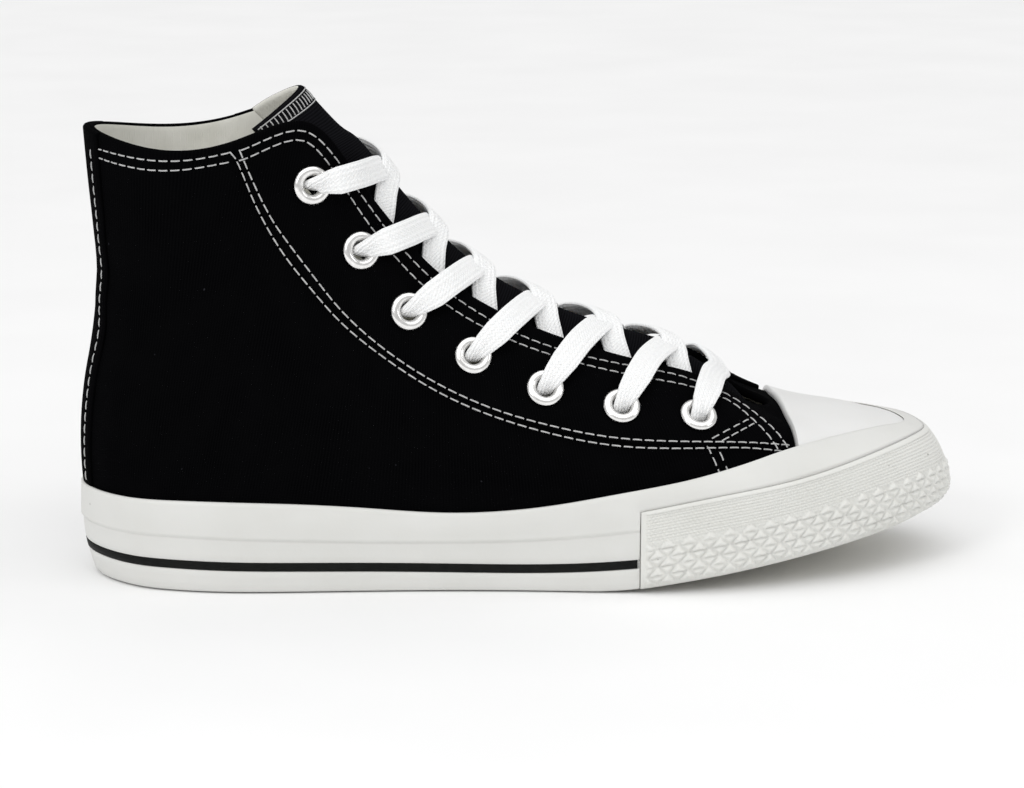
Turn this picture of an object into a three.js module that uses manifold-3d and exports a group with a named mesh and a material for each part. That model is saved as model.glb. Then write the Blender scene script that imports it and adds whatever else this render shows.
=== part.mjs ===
// High top canvas sneaker for the right foot, standing empty on its sole.
// Millimetres, +X to the toe, +Z up, the outer side at -Y. Inside this file x = 0 is the back of the heel.
import * as THREE from 'three';
import { mergeVertices } from 'three/addons/utils/BufferGeometryUtils.js';
import Module from 'manifold-3d';

const wasm = await Module();
wasm.setup();

// Driving sizes
const GAP = 0.3; // between pieces that touch on the real shoe
const PANEL_GAP = 0.92; // under a panel, where both faces are coarse
const HEEL_SEAT = 40; // from the back of the heel to the origin, under the middle of the heel
const WALL = 2; // canvas and lining of the upper
const OUTSOLE = 4;
const LIP = 0.4; // the sole wall stops this far above the floor
const LIP_WIDTH = 4;
const RIM = 1.4; // thickness of the sole wall at its top edge
const FLOOR_HEEL = 15; // height of the foot bed at the heel
const FLOOR_BALL = 9;
const INSOLE = 3;
const BUMPER = 2;
const STRIPE_HEIGHT = 2.1;
const STRIPE_DEPTH = 0.8;
const TOE_CAP = 1.2;
const CAP_EDGE_X = 211.5; // the toe cap ends in this plane
const CAP_TUCK = 3; // how far the cap runs down inside the sole wall
const CAP_CLEAR = 3; // from the upper to the sole wall where the cap runs down between them
const EYESTAY = 0.7;
const HEEL_STAY = 0.8;
const HEEL_STAY_HALF = 0.42; // half width, in stations
const TONGUE = 2.2;
const INNER_FLAP_RISE = 3; // the inner flap of the throat stands this much higher
const LACE_WIDTH = 7.4;
const LACE = 1;
const STRAP_STEPS = 11;

// Toe spring: flat, then a bend at the ball, then a straight rise to the toe
const BEND_START = 148;
const BEND_END = 168;
const TOE_SLOPE = 0.162;

// Grid of the faceted surfaces: steps to a station, and the upper's levels from its foot to its edge
const STATION_STEPS = 2.5;
const UPPER_LEVELS = [0, 0.08, 0.16, 0.26, 0.38, 0.5, 0.63, 0.76, 0.88, 1];
const LINING_LEVELS = [0, 0.08, 0.2, 0.38, 0.63, 0.84, 1];

const table = (columns, rows) =>
  rows.map((row) => Object.fromEntries(columns.map((name, i) => [name, row[i]])));

// Stations round the shoe, toe first and heel last: the outline of the sole wall with its outer and inner y,
// how far inside it the upper's foot stands, and the edge of the opening with its outer and inner y
const STATIONS = table(
  ['x', 'outer', 'inner', 'footIn', 'edgeX', 'edgeZ', 'edgeOuter', 'edgeInner', 'rise'],
  [
    [265.5, 6.5, 6.5, 9.5, 209, 47.8, 1, 1, 0],
    [257.5, -15, 27.5, 8.8, 206, 48.2, -6.5, 8.5, 0.1],
    [237.5, -31.5, 40.5, 6.6, 197, 51.4, -10.5, 12.5, 0.4],
    [212, -41.5, 46.5, 4.9, 184, 58.4, -13.5, 15, 0.9],
    [186, -45.8, 47, 4.2, 166, 63.6, -15.5, 16, 1],
    [160, -44.4, 42.5, 3.3, 146, 70.0, -17, 17, 1],
    [134, -40.6, 35.5, 3.2, 126, 78.6, -18, 18, 1],
    [108, -37.8, 30.5, 3.2, 107, 91.0, -18.5, 18.5, 1],
    [84, -36.4, 30.5, 3.2, 93, 106.4, -19, 19, 1],
    [62, -35.8, 32.5, 3.2, 81.5, 122.4, -20.5, 20.5, 0.6],
    [43, -34.6, 33.5, 3.2, 68, 137.2, -25, 24.5, 0],
    [26, -30.8, 30.5, 3.2, 47, 132.2, -31, 30, 0],
    [10.5, -21.8, 22, 3.1, 22, 130.4, -28, 27, 0],
    [0, 0, 0, 3.0, 4.6, 134, 0, 0, 0],
  ],
);

// Fullness of the upper, in millimetres off the straight line from foot to edge, at even levels between
const FULLNESS = table(
  ['low', 'lowMid', 'middle', 'highMid', 'high'],
  [
    [8.8, 8.6, 7.0, 4.4, 1.6],
    [9.0, 8.8, 7.0, 4.2, 1.6],
    [8.0, 8.8, 7.2, 4.4, 1.8],
    [6.4, 9.8, 9.8, 7.4, 3.8],
    [5.2, 9.4, 10.8, 8.8, 5.2],
    [4.8, 8.6, 10.0, 8.4, 5.0],
    [4.2, 7.6, 8.6, 7.2, 4.4],
    [4.0, 6.5, 7.4, 6.4, 3.8],
    [3.5, 5.4, 6.4, 5.8, 3.5],
    [3.0, 4.3, 5.0, 4.8, 3.0],
    [2.5, 2.8, 2.6, 2.6, 1.8],
    [2.0, 1.6, -0.4, -1.2, -0.8],
    [2.0, 1.3, -1.4, -2.4, -1.3],
    [1.8, 1.0, -2.2, -3.4, -1.7],
  ],
);

// Heights round the sole wall, and how far its bottom edge and the bumper's top edge lie inside the outline
const SOLE_LEVELS = table(
  ['top', 'ridge', 'stripe', 'bumperTop', 'lowIn', 'bumperIn'],
  [
    [38.6, 31, 22, 38.6, 3.0, 7.4],
    [39.8, 30, 21, 39.4, 3.0, 6.4],
    [40.0, 28, 18, 37.6, 2.6, 3.4],
    [39.0, 26, 15, 33.0, 2.2, 1.0],
    [34.2, 23, 12, 29.2, 2.0, 0.4],
    [29.9, 19.7, 9.0, 24.2, 2.0, 0.2],
    [25.7, 17.0, 7.5, 20, 2.0, 0.2],
    [24.2, 16.2, 7.6, 19, 2.0, 0.2],
    [25.6, 16.4, 8.0, 19, 2.0, 0.2],
    [27.0, 17.1, 8.3, 19, 2.2, 0.2],
    [27.7, 17.8, 8.6, 19, 2.5, 0.2],
    [28.0, 18.2, 8.9, 19, 3.0, 0.2],
    [28.0, 18.3, 9.1, 19, 3.8, 0.2],
    [28.0, 18.4, 9.4, 19, 4.2, 0.2],
  ],
);

// The stitched lower line of the eyestay, from the collar down and forward to the toe cap
const SEAM = table(
  ['x', 'z'],
  [
    [45, 136], [48.7, 127.1], [53.3, 115.9], [59.7, 103.6], [68.7, 91.4], [85.1, 74.6],
    [105.8, 60.6], [123.4, 52.8], [140.8, 47.6], [162, 44.2], [184, 43], [215, 41.5],
  ],
);

// Eyelet centres, top pair first
const EYELETS = table(
  ['x', 'z'],
  [[69.5, 119.8], [83.4, 100.2], [97.2, 82.2], [115.9, 68.9], [136.9, 59.1], [159.2, 53.5], [181.9, 50.1]],
);
const EYELET = { hole: 2.4, barrel: 2.9, flange: 5.7, dome: 1.5, sides: 8 };
const PUNCH = { radius: 3.5, length: 12, sides: 8 };
const EYELET_CLEARANCE = 0.5;

// Stations of the throat where the lace out of an eyelet leaves the flap, and where it tucks in on the far
// side, over the next eyelet. The lowest pair has a straight bar, which tucks in nowhere
const LACES = table(
  ['leave', 'tuck'],
  [[8.96, 8.1], [7.8, 7.1], [6.85, 6.2], [5.9, 5.2], [4.9, 4.2], [3.85, 3.15]],
);
const BAR_LEAVE = 2.75;
// Heights of the middle of the lace off the upper over an eyelet and over a flap, and off the tongue
const LACE_OVER = { eyelet: 5.1, flap: 3.7, under: 1.5, upper: 2.3, half: 1.6, tuck: 1.15 };

// Stations of the throat that the tongue follows: how far its crown stands above the flaps' edges, and how
// far down under the flaps it reaches, as a level of the upper
const TONGUE_ROWS = table(
  ['station', 'rise', 'reach'],
  [
    [1, -4.5, 0.88], [2, 0.5, 0.84], [3.5, 3.5, 0.8], [5, 5, 0.8], [6.5, 6, 0.82], [8, 6.5, 0.84], [9.2, 6, 0.86],
  ],
);

// The free end of the tongue, from its outer corner over the crown to its inner corner
const TONGUE_TOP = [
  [[62, -20, 126], [70, -15.5, 130], [79.5, 1, 133], [71, 16, 131.5], [63, 20.5, 127.5]],
  [[54, -19, 135], [60.5, -13.5, 139.5], [68.5, 2, 145], [61, 15, 141], [54.5, 19.5, 136.5]],
];
// Depth of the tongue's face under the lining: below the vamp, along its sides, and at the flaps' edges
const TONGUE_UNDER = { vamp: 1.6, side: 1.7, edge: 2.8 };

const HEEL = STATIONS.length - 1;
const RING = 2 * HEEL;
const BUMPER_END = 4.86; // station where the bumper stops on either side
const CAP_END = 3;
const EYESTAY_START = 10.95;
const EYESTAY_END = 2.2;

// Control points whose uniform cubic B-spline passes through the given points
function controlPoints(points, closed) {
  const count = points.length;
  const control = points.map((point) => [...point]);
  const first = closed ? 0 : 1;
  for (let pass = 0; pass < 40; pass += 1) {
    for (let i = first; i < count - first; i += 1) {
      const before = control[(i - 1 + count) % count];
      const after = control[(i + 1) % count];
      control[i] = points[i].map((value, k) => (6 * value - before[k] - after[k]) / 4);
    }
  }
  return control;
}

function splineWeights(f) {
  const g = 1 - f;
  return [g ** 3 / 6, (3 * f ** 3 - 6 * f ** 2 + 4) / 6, (3 * g ** 3 - 6 * g ** 2 + 4) / 6, f ** 3 / 6];
}

// The control point k of a closed ring, or of an open row continued straight past its ends
function controlAt(control, k, closed) {
  const count = control.length;
  if (closed) return control[((k % count) + count) % count];
  if (k < 0) return control[0].map((value, i) => 2 * value - control[1][i]);
  if (k >= count) return control[count - 1].map((value, i) => 2 * value - control[count - 2][i]);
  return control[k];
}

function splineAt(control, u, closed) {
  const start = closed ? Math.floor(u) : Math.min(Math.max(Math.floor(u), 0), control.length - 2);
  const weights = splineWeights(u - start);
  const near = weights.map((w, i) => controlAt(control, start - 1 + i, closed));
  return near[0].map((value, k) => weights.reduce((sum, w, i) => sum + w * near[i][k], 0));
}

// A surface through a grid of points, rows along u and columns along v
function surfaceControl(grid, closed) {
  const rows = grid.map((row) => controlPoints(row, false));
  const columns = rows[0].map((point, j) => controlPoints(rows.map((row) => row[j]), closed));
  return rows.map((row, i) => columns.map((column) => column[i]));
}

function surfaceAt(control, u, v, closed) {
  const start = closed ? Math.floor(u) : Math.min(Math.max(Math.floor(u), 0), control.length - 2);
  const weights = splineWeights(u - start);
  const flat = control.map((row) => row.flat());
  const near = weights.map((w, i) => controlAt(flat, start - 1 + i, closed));
  const blended = near[0].map((value, k) => weights.reduce((sum, w, i) => sum + w * near[i][k], 0));
  const row = control[0].map((point, j) => blended.slice(3 * j, 3 * j + 3));
  return new THREE.Vector3(...splineAt(row, v, false));
}

// Station k of the ring: toe at 0, down the outer side to the heel, back along the inner side
const rowOf = (k) => Math.min(((k % RING) + RING) % RING, RING - (((k % RING) + RING) % RING));
const isInner = (k) => ((k % RING) + RING) % RING > HEEL;
const ringOf = (pick) => Array.from({ length: RING }, (unused, k) => pick(rowOf(k), isInner(k)));

const outlineControl = controlPoints(
  ringOf((row, inner) => [STATIONS[row].x, inner ? STATIONS[row].inner : STATIONS[row].outer]),
  true,
);
const levelControl = controlPoints(ringOf((row) => Object.values(SOLE_LEVELS[row])), true);
const levelNames = Object.keys(SOLE_LEVELS[0]);
const levelsAt = (s) =>
  Object.fromEntries(splineAt(levelControl, s, true).map((value, i) => [levelNames[i], value]));

// A point of the sole's outline in plan, moved inward
function outlineAt(s, inset, z) {
  const [x, y] = splineAt(outlineControl, s, true);
  const [x0, y0] = splineAt(outlineControl, s - 0.05, true);
  const [x1, y1] = splineAt(outlineControl, s + 0.05, true);
  const length = Math.hypot(x1 - x0, y1 - y0);
  return new THREE.Vector3(x + (inset * (y1 - y0)) / length, y - (inset * (x1 - x0)) / length, z);
}

// Height of the sole's underside at x
function springAt(x) {
  if (x < BEND_START) return 0;
  const bend = BEND_END - BEND_START;
  if (x < BEND_END) return (TOE_SLOPE * (x - BEND_START) ** 2) / (2 * bend);
  return TOE_SLOPE * (x - BEND_END + bend / 2);
}

// Height of the foot bed at x
function floorAt(x) {
  const forward = THREE.MathUtils.smoothstep(x, 40, 170);
  return springAt(x) + THREE.MathUtils.lerp(FLOOR_HEEL, FLOOR_BALL, forward);
}

// Key points of the upper's outer face: seven levels at each station
function upperKeys() {
  const feet = [];
  const edges = [];
  for (let k = 0; k < RING; k += 1) {
    const row = STATIONS[rowOf(k)];
    const foot = outlineAt(k, row.footIn, 0);
    foot.z = floorAt(foot.x) + GAP;
    feet.push(foot);
    const rise = isInner(k) ? row.rise * INNER_FLAP_RISE : 0;
    const y = isInner(k) ? row.edgeInner : row.edgeOuter;
    edges.push(new THREE.Vector3(row.edgeX + 0.6 * rise, y, row.edgeZ + 0.8 * rise));
  }
  return feet.map((foot, k) => {
    const next = (k + 1) % RING;
    const last = (k + RING - 1) % RING;
    const along = feet[next].clone().sub(feet[last]).normalize();
    along.add(edges[next].clone().sub(edges[last]).normalize());
    const out = edges[k].clone().sub(foot).cross(along).normalize();
    const fullness = [0, ...Object.values(FULLNESS[rowOf(k)]), 0];
    return fullness.map((full, j) => {
      const point = foot.clone().lerp(edges[k], j / (fullness.length - 1));
      return point.addScaledVector(out, full).toArray();
    });
  });
}

const upperControl = surfaceControl(upperKeys(), true);
const TOP = Object.keys(FULLNESS[0]).length + 1;

const upperFace = (s, t) => surfaceAt(upperControl, s, t * TOP, true);

// A point of the upper's outer face, moved out along the face's normal. t runs from the foot to the edge
function upperAt(s, t, out = 0) {
  const point = upperFace(s, t);
  if (out === 0) return point;
  return point.addScaledVector(upperNormal(s, t), out);
}

function upperNormal(s, t) {
  const step = 0.01;
  const t0 = Math.max(t - step, 0);
  const t1 = Math.min(t + step, 1);
  const around = upperFace(s + step, t).sub(upperFace(s - step, t));
  return upperFace(s, t1).sub(upperFace(s, t0)).cross(around).normalize();
}

// The level t at which a rising measure of the upper's face reaches zero
function levelWhere(s, measure, from = 0, to = 1) {
  let low = from;
  let high = to;
  for (let pass = 0; pass < 24; pass += 1) {
    const middle = (low + high) / 2;
    if (measure(upperFace(s, middle)) < 0) low = middle;
    else high = middle;
  }
  return (low + high) / 2;
}

const levelAtHeight = (s, z) => levelWhere(s, (point) => point.z - z, 0, 0.75);

function seamHeight(x) {
  const i = Math.max(1, SEAM.findIndex((row) => row.x > x));
  const before = SEAM[i - 1];
  const after = SEAM[i];
  return THREE.MathUtils.mapLinear(x, before.x, after.x, before.z, after.z);
}

// Station and level of the upper's face at a given x and z on the outer or inner side
function findOnUpper(x, z, inner) {
  let s = 6;
  let t = 0.8;
  const sign = inner ? -1 : 1;
  for (let pass = 0; pass < 30; pass += 1) {
    const here = upperFace(sign * s, t);
    const ds = upperFace(sign * (s + 0.01), t).sub(here).multiplyScalar(100);
    const dt = upperFace(sign * s, t - 0.01).sub(here).multiplyScalar(-100);
    const determinant = ds.x * dt.z - dt.x * ds.z;
    const missX = x - here.x;
    const missZ = z - here.z;
    s += 0.7 * ((missX * dt.z - missZ * dt.x) / determinant);
    t += 0.7 * ((missZ * ds.x - missX * ds.z) / determinant);
    s = THREE.MathUtils.clamp(s, 1, 12);
    t = THREE.MathUtils.clamp(t, 0.05, 0.99);
  }
  return { s: sign * s, t };
}

// Closed geometry from points and triangles, turned so that its faces point out
function closedGeometry(points, triangles) {
  const a = new THREE.Vector3();
  const volume = triangles.reduce((sum, [i, j, k]) => {
    return sum + a.copy(points[i]).cross(points[j]).dot(points[k]);
  }, 0);
  const faces = volume < 0 ? triangles.map(([i, j, k]) => [i, k, j]) : triangles;
  const geometry = new THREE.BufferGeometry();
  geometry.setAttribute(
    'position',
    new THREE.Float32BufferAttribute(points.flatMap((point) => point.toArray()), 3),
  );
  geometry.setIndex(faces.flat());
  return geometry;
}

// Triangles between rings of equal count, each ring joined to the next
function betweenRings(rings, count, wrap) {
  const triangles = [];
  const last = wrap ? rings : rings - 1;
  for (let j = 0; j < last; j += 1) {
    const low = j * count;
    const high = ((j + 1) % rings) * count;
    for (let i = 0; i < count; i += 1) {
      const next = (i + 1) % count;
      triangles.push([low + i, low + next, high + next], [low + i, high + next, high + i]);
    }
  }
  return triangles;
}

// A flat web across a ring, from its outer side to its inner side
function acrossRing(start, count, flip) {
  const triangles = [[start, start + 1, start + count - 1]];
  for (let i = 1; i < count / 2 - 1; i += 1) {
    const mirror = count - i;
    triangles.push([start + i, start + i + 1, start + mirror - 1], [start + i, start + mirror - 1, start + mirror]);
  }
  const heel = start + count / 2;
  triangles.push([heel - 1, heel, heel + 1]);
  return flip ? triangles.map(([i, j, k]) => [i, k, j]) : triangles;
}

// A solid whose rings run from its lower web, round its side, to its upper web
function stackedSolid(rings) {
  const count = rings[0].length;
  const triangles = [
    ...acrossRing(0, count, true),
    ...betweenRings(rings.length, count, false),
    ...acrossRing((rings.length - 1) * count, count, false),
  ];
  return closedGeometry(rings.flat(), triangles);
}

// A hollow wall, open above and below: the rings run up one face and down the other
function tubeSolid(rings) {
  return closedGeometry(rings.flat(), betweenRings(rings.length, rings[0].length, true));
}

// A sheet with an outer and an inner face, both grids of rows of points
function sheetSolid(outer, inner) {
  const rows = outer.length;
  const columns = outer[0].length;
  const loops = outer.map((row, i) => [...row, ...[...inner[i]].reverse()]);
  const count = 2 * columns;
  const triangles = betweenRings(rows, count, false);
  for (let j = 0; j < columns - 1; j += 1) {
    const across = count - 1 - j;
    const end = (rows - 1) * count;
    triangles.push([j, across, across - 1], [j, across - 1, j + 1]);
    triangles.push([end + j, end + across - 1, end + across], [end + j, end + j + 1, end + across - 1]);
  }
  return closedGeometry(loops.flat(), triangles);
}

function toManifold(geometry) {
  const plain = geometry.clone();
  plain.deleteAttribute('normal');
  plain.deleteAttribute('uv');
  const merged = mergeVertices(plain, 1e-4);
  return new wasm.Manifold(
    new wasm.Mesh({
      numProp: 3,
      vertProperties: new Float32Array(merged.attributes.position.array),
      triVerts: new Uint32Array(merged.index.array),
    }),
  );
}

function fromManifold(solid) {
  const mesh = solid.getMesh();
  const geometry = new THREE.BufferGeometry();
  geometry.setAttribute('position', new THREE.Float32BufferAttribute(mesh.vertProperties, 3));
  geometry.setIndex(Array.from(mesh.triVerts));
  return geometry;
}

const range = (count, from, to) =>
  Array.from({ length: count + 1 }, (unused, i) => THREE.MathUtils.lerp(from, to, i / count));

// Stations from one place to another: the two ends and the common steps between them
function stationsBetween(from, to) {
  const steps = [];
  for (let i = Math.ceil(from * STATION_STEPS); i <= to * STATION_STEPS; i += 1) {
    const s = i / STATION_STEPS;
    if (s > from + 0.05 && s < to - 0.05) steps.push(s);
  }
  if (from < HEEL && to > HEEL) steps.push(HEEL);
  return [from, ...steps.sort((a, b) => a - b), to];
}

// Stations sampled down the outer side, mirrored back along the inner side
function roundTheShoe(extra = []) {
  const outer = [...stationsBetween(0, HEEL), ...extra].sort((a, b) => a - b);
  const inner = outer.slice(1, -1).reverse();
  return [...outer, ...inner.map((s) => RING - s)];
}

// Outer face of the toe bumper, h from its bottom edge to its top edge, moved inward by depth
function bumperFace(s, h, depth) {
  const level = levelsAt(s);
  const low = outlineAt(s, level.lowIn, 0);
  const bottom = springAt(low.x) + LIP;
  const inset = level.lowIn * Math.max(0, 1 - h / 0.2) ** 2 + level.bumperIn * h ** 2.6;
  return outlineAt(s, inset + depth, THREE.MathUtils.lerp(bottom, level.bumperTop, h));
}

// Outer face of the plain sole wall below its ridge, at height z
function wallFace(s, z, depth = 0) {
  const level = levelsAt(s);
  const low = outlineAt(s, level.lowIn, 0);
  const bottom = springAt(low.x) + LIP;
  const share = THREE.MathUtils.clamp((level.ridge - z) / (level.ridge - bottom), 0, 1);
  return outlineAt(s, 0.7 + (level.lowIn - 0.7) * share ** 2 + depth, z);
}

// The side of the sole wall from its bottom edge to its ridge, with the groove of the pinstripe
function plainSide(s) {
  const level = levelsAt(s);
  const low = outlineAt(s, level.lowIn, 0);
  const half = STRIPE_HEIGHT / 2 + GAP;
  return [
    outlineAt(s, level.lowIn, springAt(low.x) + LIP),
    wallFace(s, level.stripe - half),
    wallFace(s, level.stripe - half, STRIPE_DEPTH + GAP),
    wallFace(s, level.stripe + half, STRIPE_DEPTH + GAP),
    wallFace(s, level.stripe + half),
    wallFace(s, level.ridge - 0.9),
    outlineAt(s, 0, level.ridge),
  ];
}

// The same side where the bumper covers it, with the ledge just above the bumper
function coveredSide(s) {
  const level = levelsAt(s);
  const ledge = level.bumperTop + GAP;
  return [
    ...[0, 0.2, 0.45, 0.7, 0.9].map((h) => bumperFace(s, h, BUMPER + GAP)),
    outlineAt(s, level.bumperIn + BUMPER + GAP, ledge),
    outlineAt(s, level.bumperIn + 0.8, ledge + 0.05),
  ];
}

function outsoleGeometry() {
  const around = roundTheShoe();
  const ringAt = (height) =>
    around.map((s) => {
      const point = outlineAt(s, levelsAt(s).lowIn + LIP_WIDTH + GAP, 0);
      point.z = springAt(point.x) + height;
      return point;
    });
  return stackedSolid([ringAt(0), ringAt(OUTSOLE)]);
}

function soleWallGeometry() {
  const around = roundTheShoe([BUMPER_END - 0.004, BUMPER_END + 0.008]);
  const columns = around.map((s) => {
    const row = s > HEEL ? RING - s : s;
    const level = levelsAt(s);
    const low = outlineAt(s, level.lowIn + LIP_WIDTH, 0);
    const under = springAt(low.x);
    const covered = row < BUMPER_END;
    const top = levelAtHeight(s, level.top);
    const clear = row < CAP_END + 1 / STATION_STEPS ? CAP_CLEAR : GAP;
    const inside = [1, 0.85, 0.66, 0.33].map((share) => upperAt(s, top * share, clear));
    const foot = upperAt(s, 0, clear);
    foot.z = floorAt(foot.x);
    return [
      new THREE.Vector3(low.x, low.y, under + OUTSOLE + GAP),
      new THREE.Vector3(low.x, low.y, under + LIP),
      ...(covered ? coveredSide(s) : plainSide(s)),
      upperAt(s, top, clear + (row < CAP_END ? RIM / 2 : RIM)),
      ...inside,
      foot,
    ];
  });
  return stackedSolid(columns[0].map((unused, j) => columns.map((column) => column[j])));
}

function pinstripeGeometry() {
  const around = stationsBetween(BUMPER_END + 0.04, RING - BUMPER_END - 0.04);
  const strip = (depth) =>
    around.map((s) => {
      const z = levelsAt(s).stripe;
      return [-0.5, 0.5].map((side) => wallFace(s, z + side * STRIPE_HEIGHT, depth));
    });
  return sheetSolid(strip(0), strip(STRIPE_DEPTH));
}

function bumperGeometry() {
  const around = stationsBetween(-BUMPER_END + 0.02, BUMPER_END - 0.02);
  const face = (depth) => around.map((s) => [0, 0.2, 0.45, 0.7, 0.9, 1].map((h) => bumperFace(s, h, depth)));
  return sheetSolid(face(0), face(BUMPER));
}

function upperGeometry() {
  const around = roundTheShoe();
  const face = (levels, out) => levels.map((t) => around.map((s) => upperAt(s, t, out)));
  const outer = face(UPPER_LEVELS, 0);
  const inner = face(LINING_LEVELS, -WALL);
  inner[0].forEach((point, i) => {
    point.z = outer[0][i].z;
  });
  return tubeSolid([...outer, ...inner.reverse()]);
}

function insoleGeometry() {
  const around = roundTheShoe();
  const ringAt = (height) =>
    around.map((s) => {
      const z = floorAt(upperAt(s, 0).x) + GAP + height;
      const point = upperAt(s, levelAtHeight(s, z), -WALL - GAP - 0.1);
      point.z = floorAt(point.x) + GAP + height;
      return point;
    });
  return stackedSolid([ringAt(0), ringAt(INSOLE)]);
}

// A panel over the upper between two levels, which may change from station to station
function panelGeometry(around, bottomOf, topOf, shares, thickness) {
  const levels = (s) => shares.map((share) => THREE.MathUtils.lerp(bottomOf(s), topOf(s), share));
  const face = (out) => around.map((s) => levels(s).map((t) => upperAt(s, t, out)));
  return sheetSolid(face(PANEL_GAP + thickness), face(PANEL_GAP));
}

function toeCapGeometry() {
  const around = stationsBetween(-CAP_END, CAP_END);
  const bottomOf = (s) => levelAtHeight(s, levelsAt(s).top - CAP_TUCK);
  const topOf = (s) => levelWhere(s, (point) => CAP_EDGE_X - point.x, bottomOf(s) + 0.02, 1);
  return panelGeometry(around, bottomOf, topOf, [0, 0.08, 0.16, 0.26, 0.38, 0.52, 0.68, 0.84, 1], TOE_CAP);
}

function eyestayGeometry(inner) {
  const ends = [EYESTAY_END, EYESTAY_START];
  const around = inner ? stationsBetween(-ends[1], -ends[0]) : stationsBetween(...ends);
  const bottomOf = (s) => {
    const seam = levelWhere(s, (point) => point.z - seamHeight(point.x), 0.1, 0.985);
    const cap = levelWhere(s, (point) => CAP_EDGE_X - 2.5 - point.x, 0.02, 0.985);
    return Math.min(Math.max(seam, cap), 0.985);
  };
  return panelGeometry(around, bottomOf, () => 1, range(5, 0, 1), EYESTAY);
}

function heelStayGeometry() {
  const around = stationsBetween(HEEL - HEEL_STAY_HALF, HEEL + HEEL_STAY_HALF);
  const bottomOf = (s) => levelAtHeight(s, levelsAt(s).top + 0.4);
  return panelGeometry(around, bottomOf, () => 0.995, range(8, 0, 1), HEEL_STAY);
}

// Key points of the tongue's outer face, front end first: under the vamp, between the flaps, above the collar
function tongueKeys() {
  const underVamp = (t, spread) =>
    [spread, spread / 2, 0, -spread / 2, -spread].map((s) => upperAt(s, t, -WALL - TONGUE_UNDER.vamp).toArray());
  const rows = [underVamp(0.8, 0.9), underVamp(0.9, 1)];
  for (const { station: s, rise, reach } of TONGUE_ROWS) {
    const side = (sign) => {
      const under = upperAt(sign * s, reach, -WALL - TONGUE_UNDER.side);
      const edge = upperAt(sign * s, 0.99, -WALL - TONGUE_UNDER.edge);
      return [under, edge];
    };
    const [underOuter, edgeOuter] = side(1);
    const [underInner, edgeInner] = side(-1);
    const lift = upperNormal(s, 1).add(upperNormal(-s, 1));
    lift.y = 0;
    lift.normalize();
    const crown = upperAt(s, 1).lerp(upperAt(-s, 1), 0.5).addScaledVector(lift, rise);
    rows.push([underOuter, edgeOuter, crown, edgeInner, underInner].map((point) => point.toArray()));
  }
  return [...rows, ...TONGUE_TOP];
}

const tongueControl = surfaceControl(tongueKeys(), false);
const TONGUE_END = tongueControl.length - 1;

// The tongue's outer face: u runs from its front end to its free end, v across it from 0 to 4
const tongueFace = (u, v) => surfaceAt(tongueControl, u, v, false);

function tongueNormal(u, v) {
  const along = tongueFace(u + 0.02, v).sub(tongueFace(u - 0.02, v));
  return tongueFace(u, v + 0.02).sub(tongueFace(u, v - 0.02)).cross(along).normalize();
}

function tongueGeometry() {
  const rows = range(20, 0, TONGUE_END);
  const columns = range(6, 0, 4);
  const face = (depth) =>
    rows.map((u) => columns.map((v) => tongueFace(u, v).addScaledVector(tongueNormal(u, v), -depth)));
  return sheetSolid(face(0), face(TONGUE));
}

// The tongue's row beside a station of the throat
function tongueRow(s) {
  const rows = TONGUE_ROWS;
  const i = Math.max(1, rows.findIndex(({ station }) => station > s));
  return 1 + i + THREE.MathUtils.mapLinear(s, rows[i - 1].station, rows[i].station, 0, 1);
}

const overUpper = (s, t, height) => ({ point: upperAt(s, t, height), normal: upperNormal(s, t) });

function overTongue(s, v, height) {
  const u = tongueRow(s);
  const normal = tongueNormal(u, v);
  return { point: tongueFace(u, v).addScaledVector(normal, height), normal };
}

// A lace from its eyelet up to the edge of the flap, at station leave
function fromEyelet({ s, t }, leave) {
  const half = THREE.MathUtils.lerp(s, Math.sign(s) * leave, 0.65);
  return [
    overUpper(s, t, LACE_OVER.eyelet),
    overUpper(half, THREE.MathUtils.lerp(t, 1, 0.65), (LACE_OVER.eyelet + 2 * LACE_OVER.flap) / 3),
    overUpper(Math.sign(s) * leave, 1, LACE_OVER.flap),
  ];
}

// A flat strap through key places, its width lying along the faces that it passes over
function strapGeometry(keys) {
  const route = new THREE.CatmullRomCurve3(keys.map((key) => key.point));
  const rings = range(STRAP_STEPS, 0, 1).map((share) => {
    const place = share * (keys.length - 1);
    const i = Math.min(Math.floor(place), keys.length - 2);
    const up = keys[i].normal.clone().lerp(keys[i + 1].normal, place - i);
    const along = route.getTangent(share);
    const across = new THREE.Vector3().crossVectors(along, up).normalize();
    up.crossVectors(across, along);
    const corners = [[-1, -1], [1, -1], [1, 1], [-1, 1]];
    return corners.map(([side, face]) =>
      route.getPoint(share)
        .addScaledVector(across, (side * LACE_WIDTH) / 2)
        .addScaledVector(up, (face * LACE) / 2),
    );
  });
  return stackedSolid(rings);
}

// The two straps of a crossing, joined where they cross. The one from the inner side lies on top
function crossingGeometry([outer, inner], { leave, tuck }) {
  const middle = (leave + tuck) / 2;
  const strap = (eyelet, across, height) =>
    strapGeometry([
      ...fromEyelet(eyelet, leave),
      overTongue(middle, 2, height),
      overTongue((middle + tuck) / 2, 2 + across / 2, LACE_OVER.half),
      overTongue(tuck, 2 + across, LACE_OVER.tuck),
      overTongue(tuck - 0.1, 2 + 1.1 * across, LACE_OVER.tuck - 0.1),
    ]);
  const below = toManifold(strap(outer, 1, LACE_OVER.under));
  return fromManifold(below.add(toManifold(strap(inner, -1, LACE_OVER.upper))));
}

function barGeometry([outer, inner]) {
  return strapGeometry([
    ...fromEyelet(outer, BAR_LEAVE),
    overTongue(BAR_LEAVE - 0.2, 2, LACE_OVER.upper),
    ...fromEyelet(inner, BAR_LEAVE).reverse(),
  ]);
}

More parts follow.
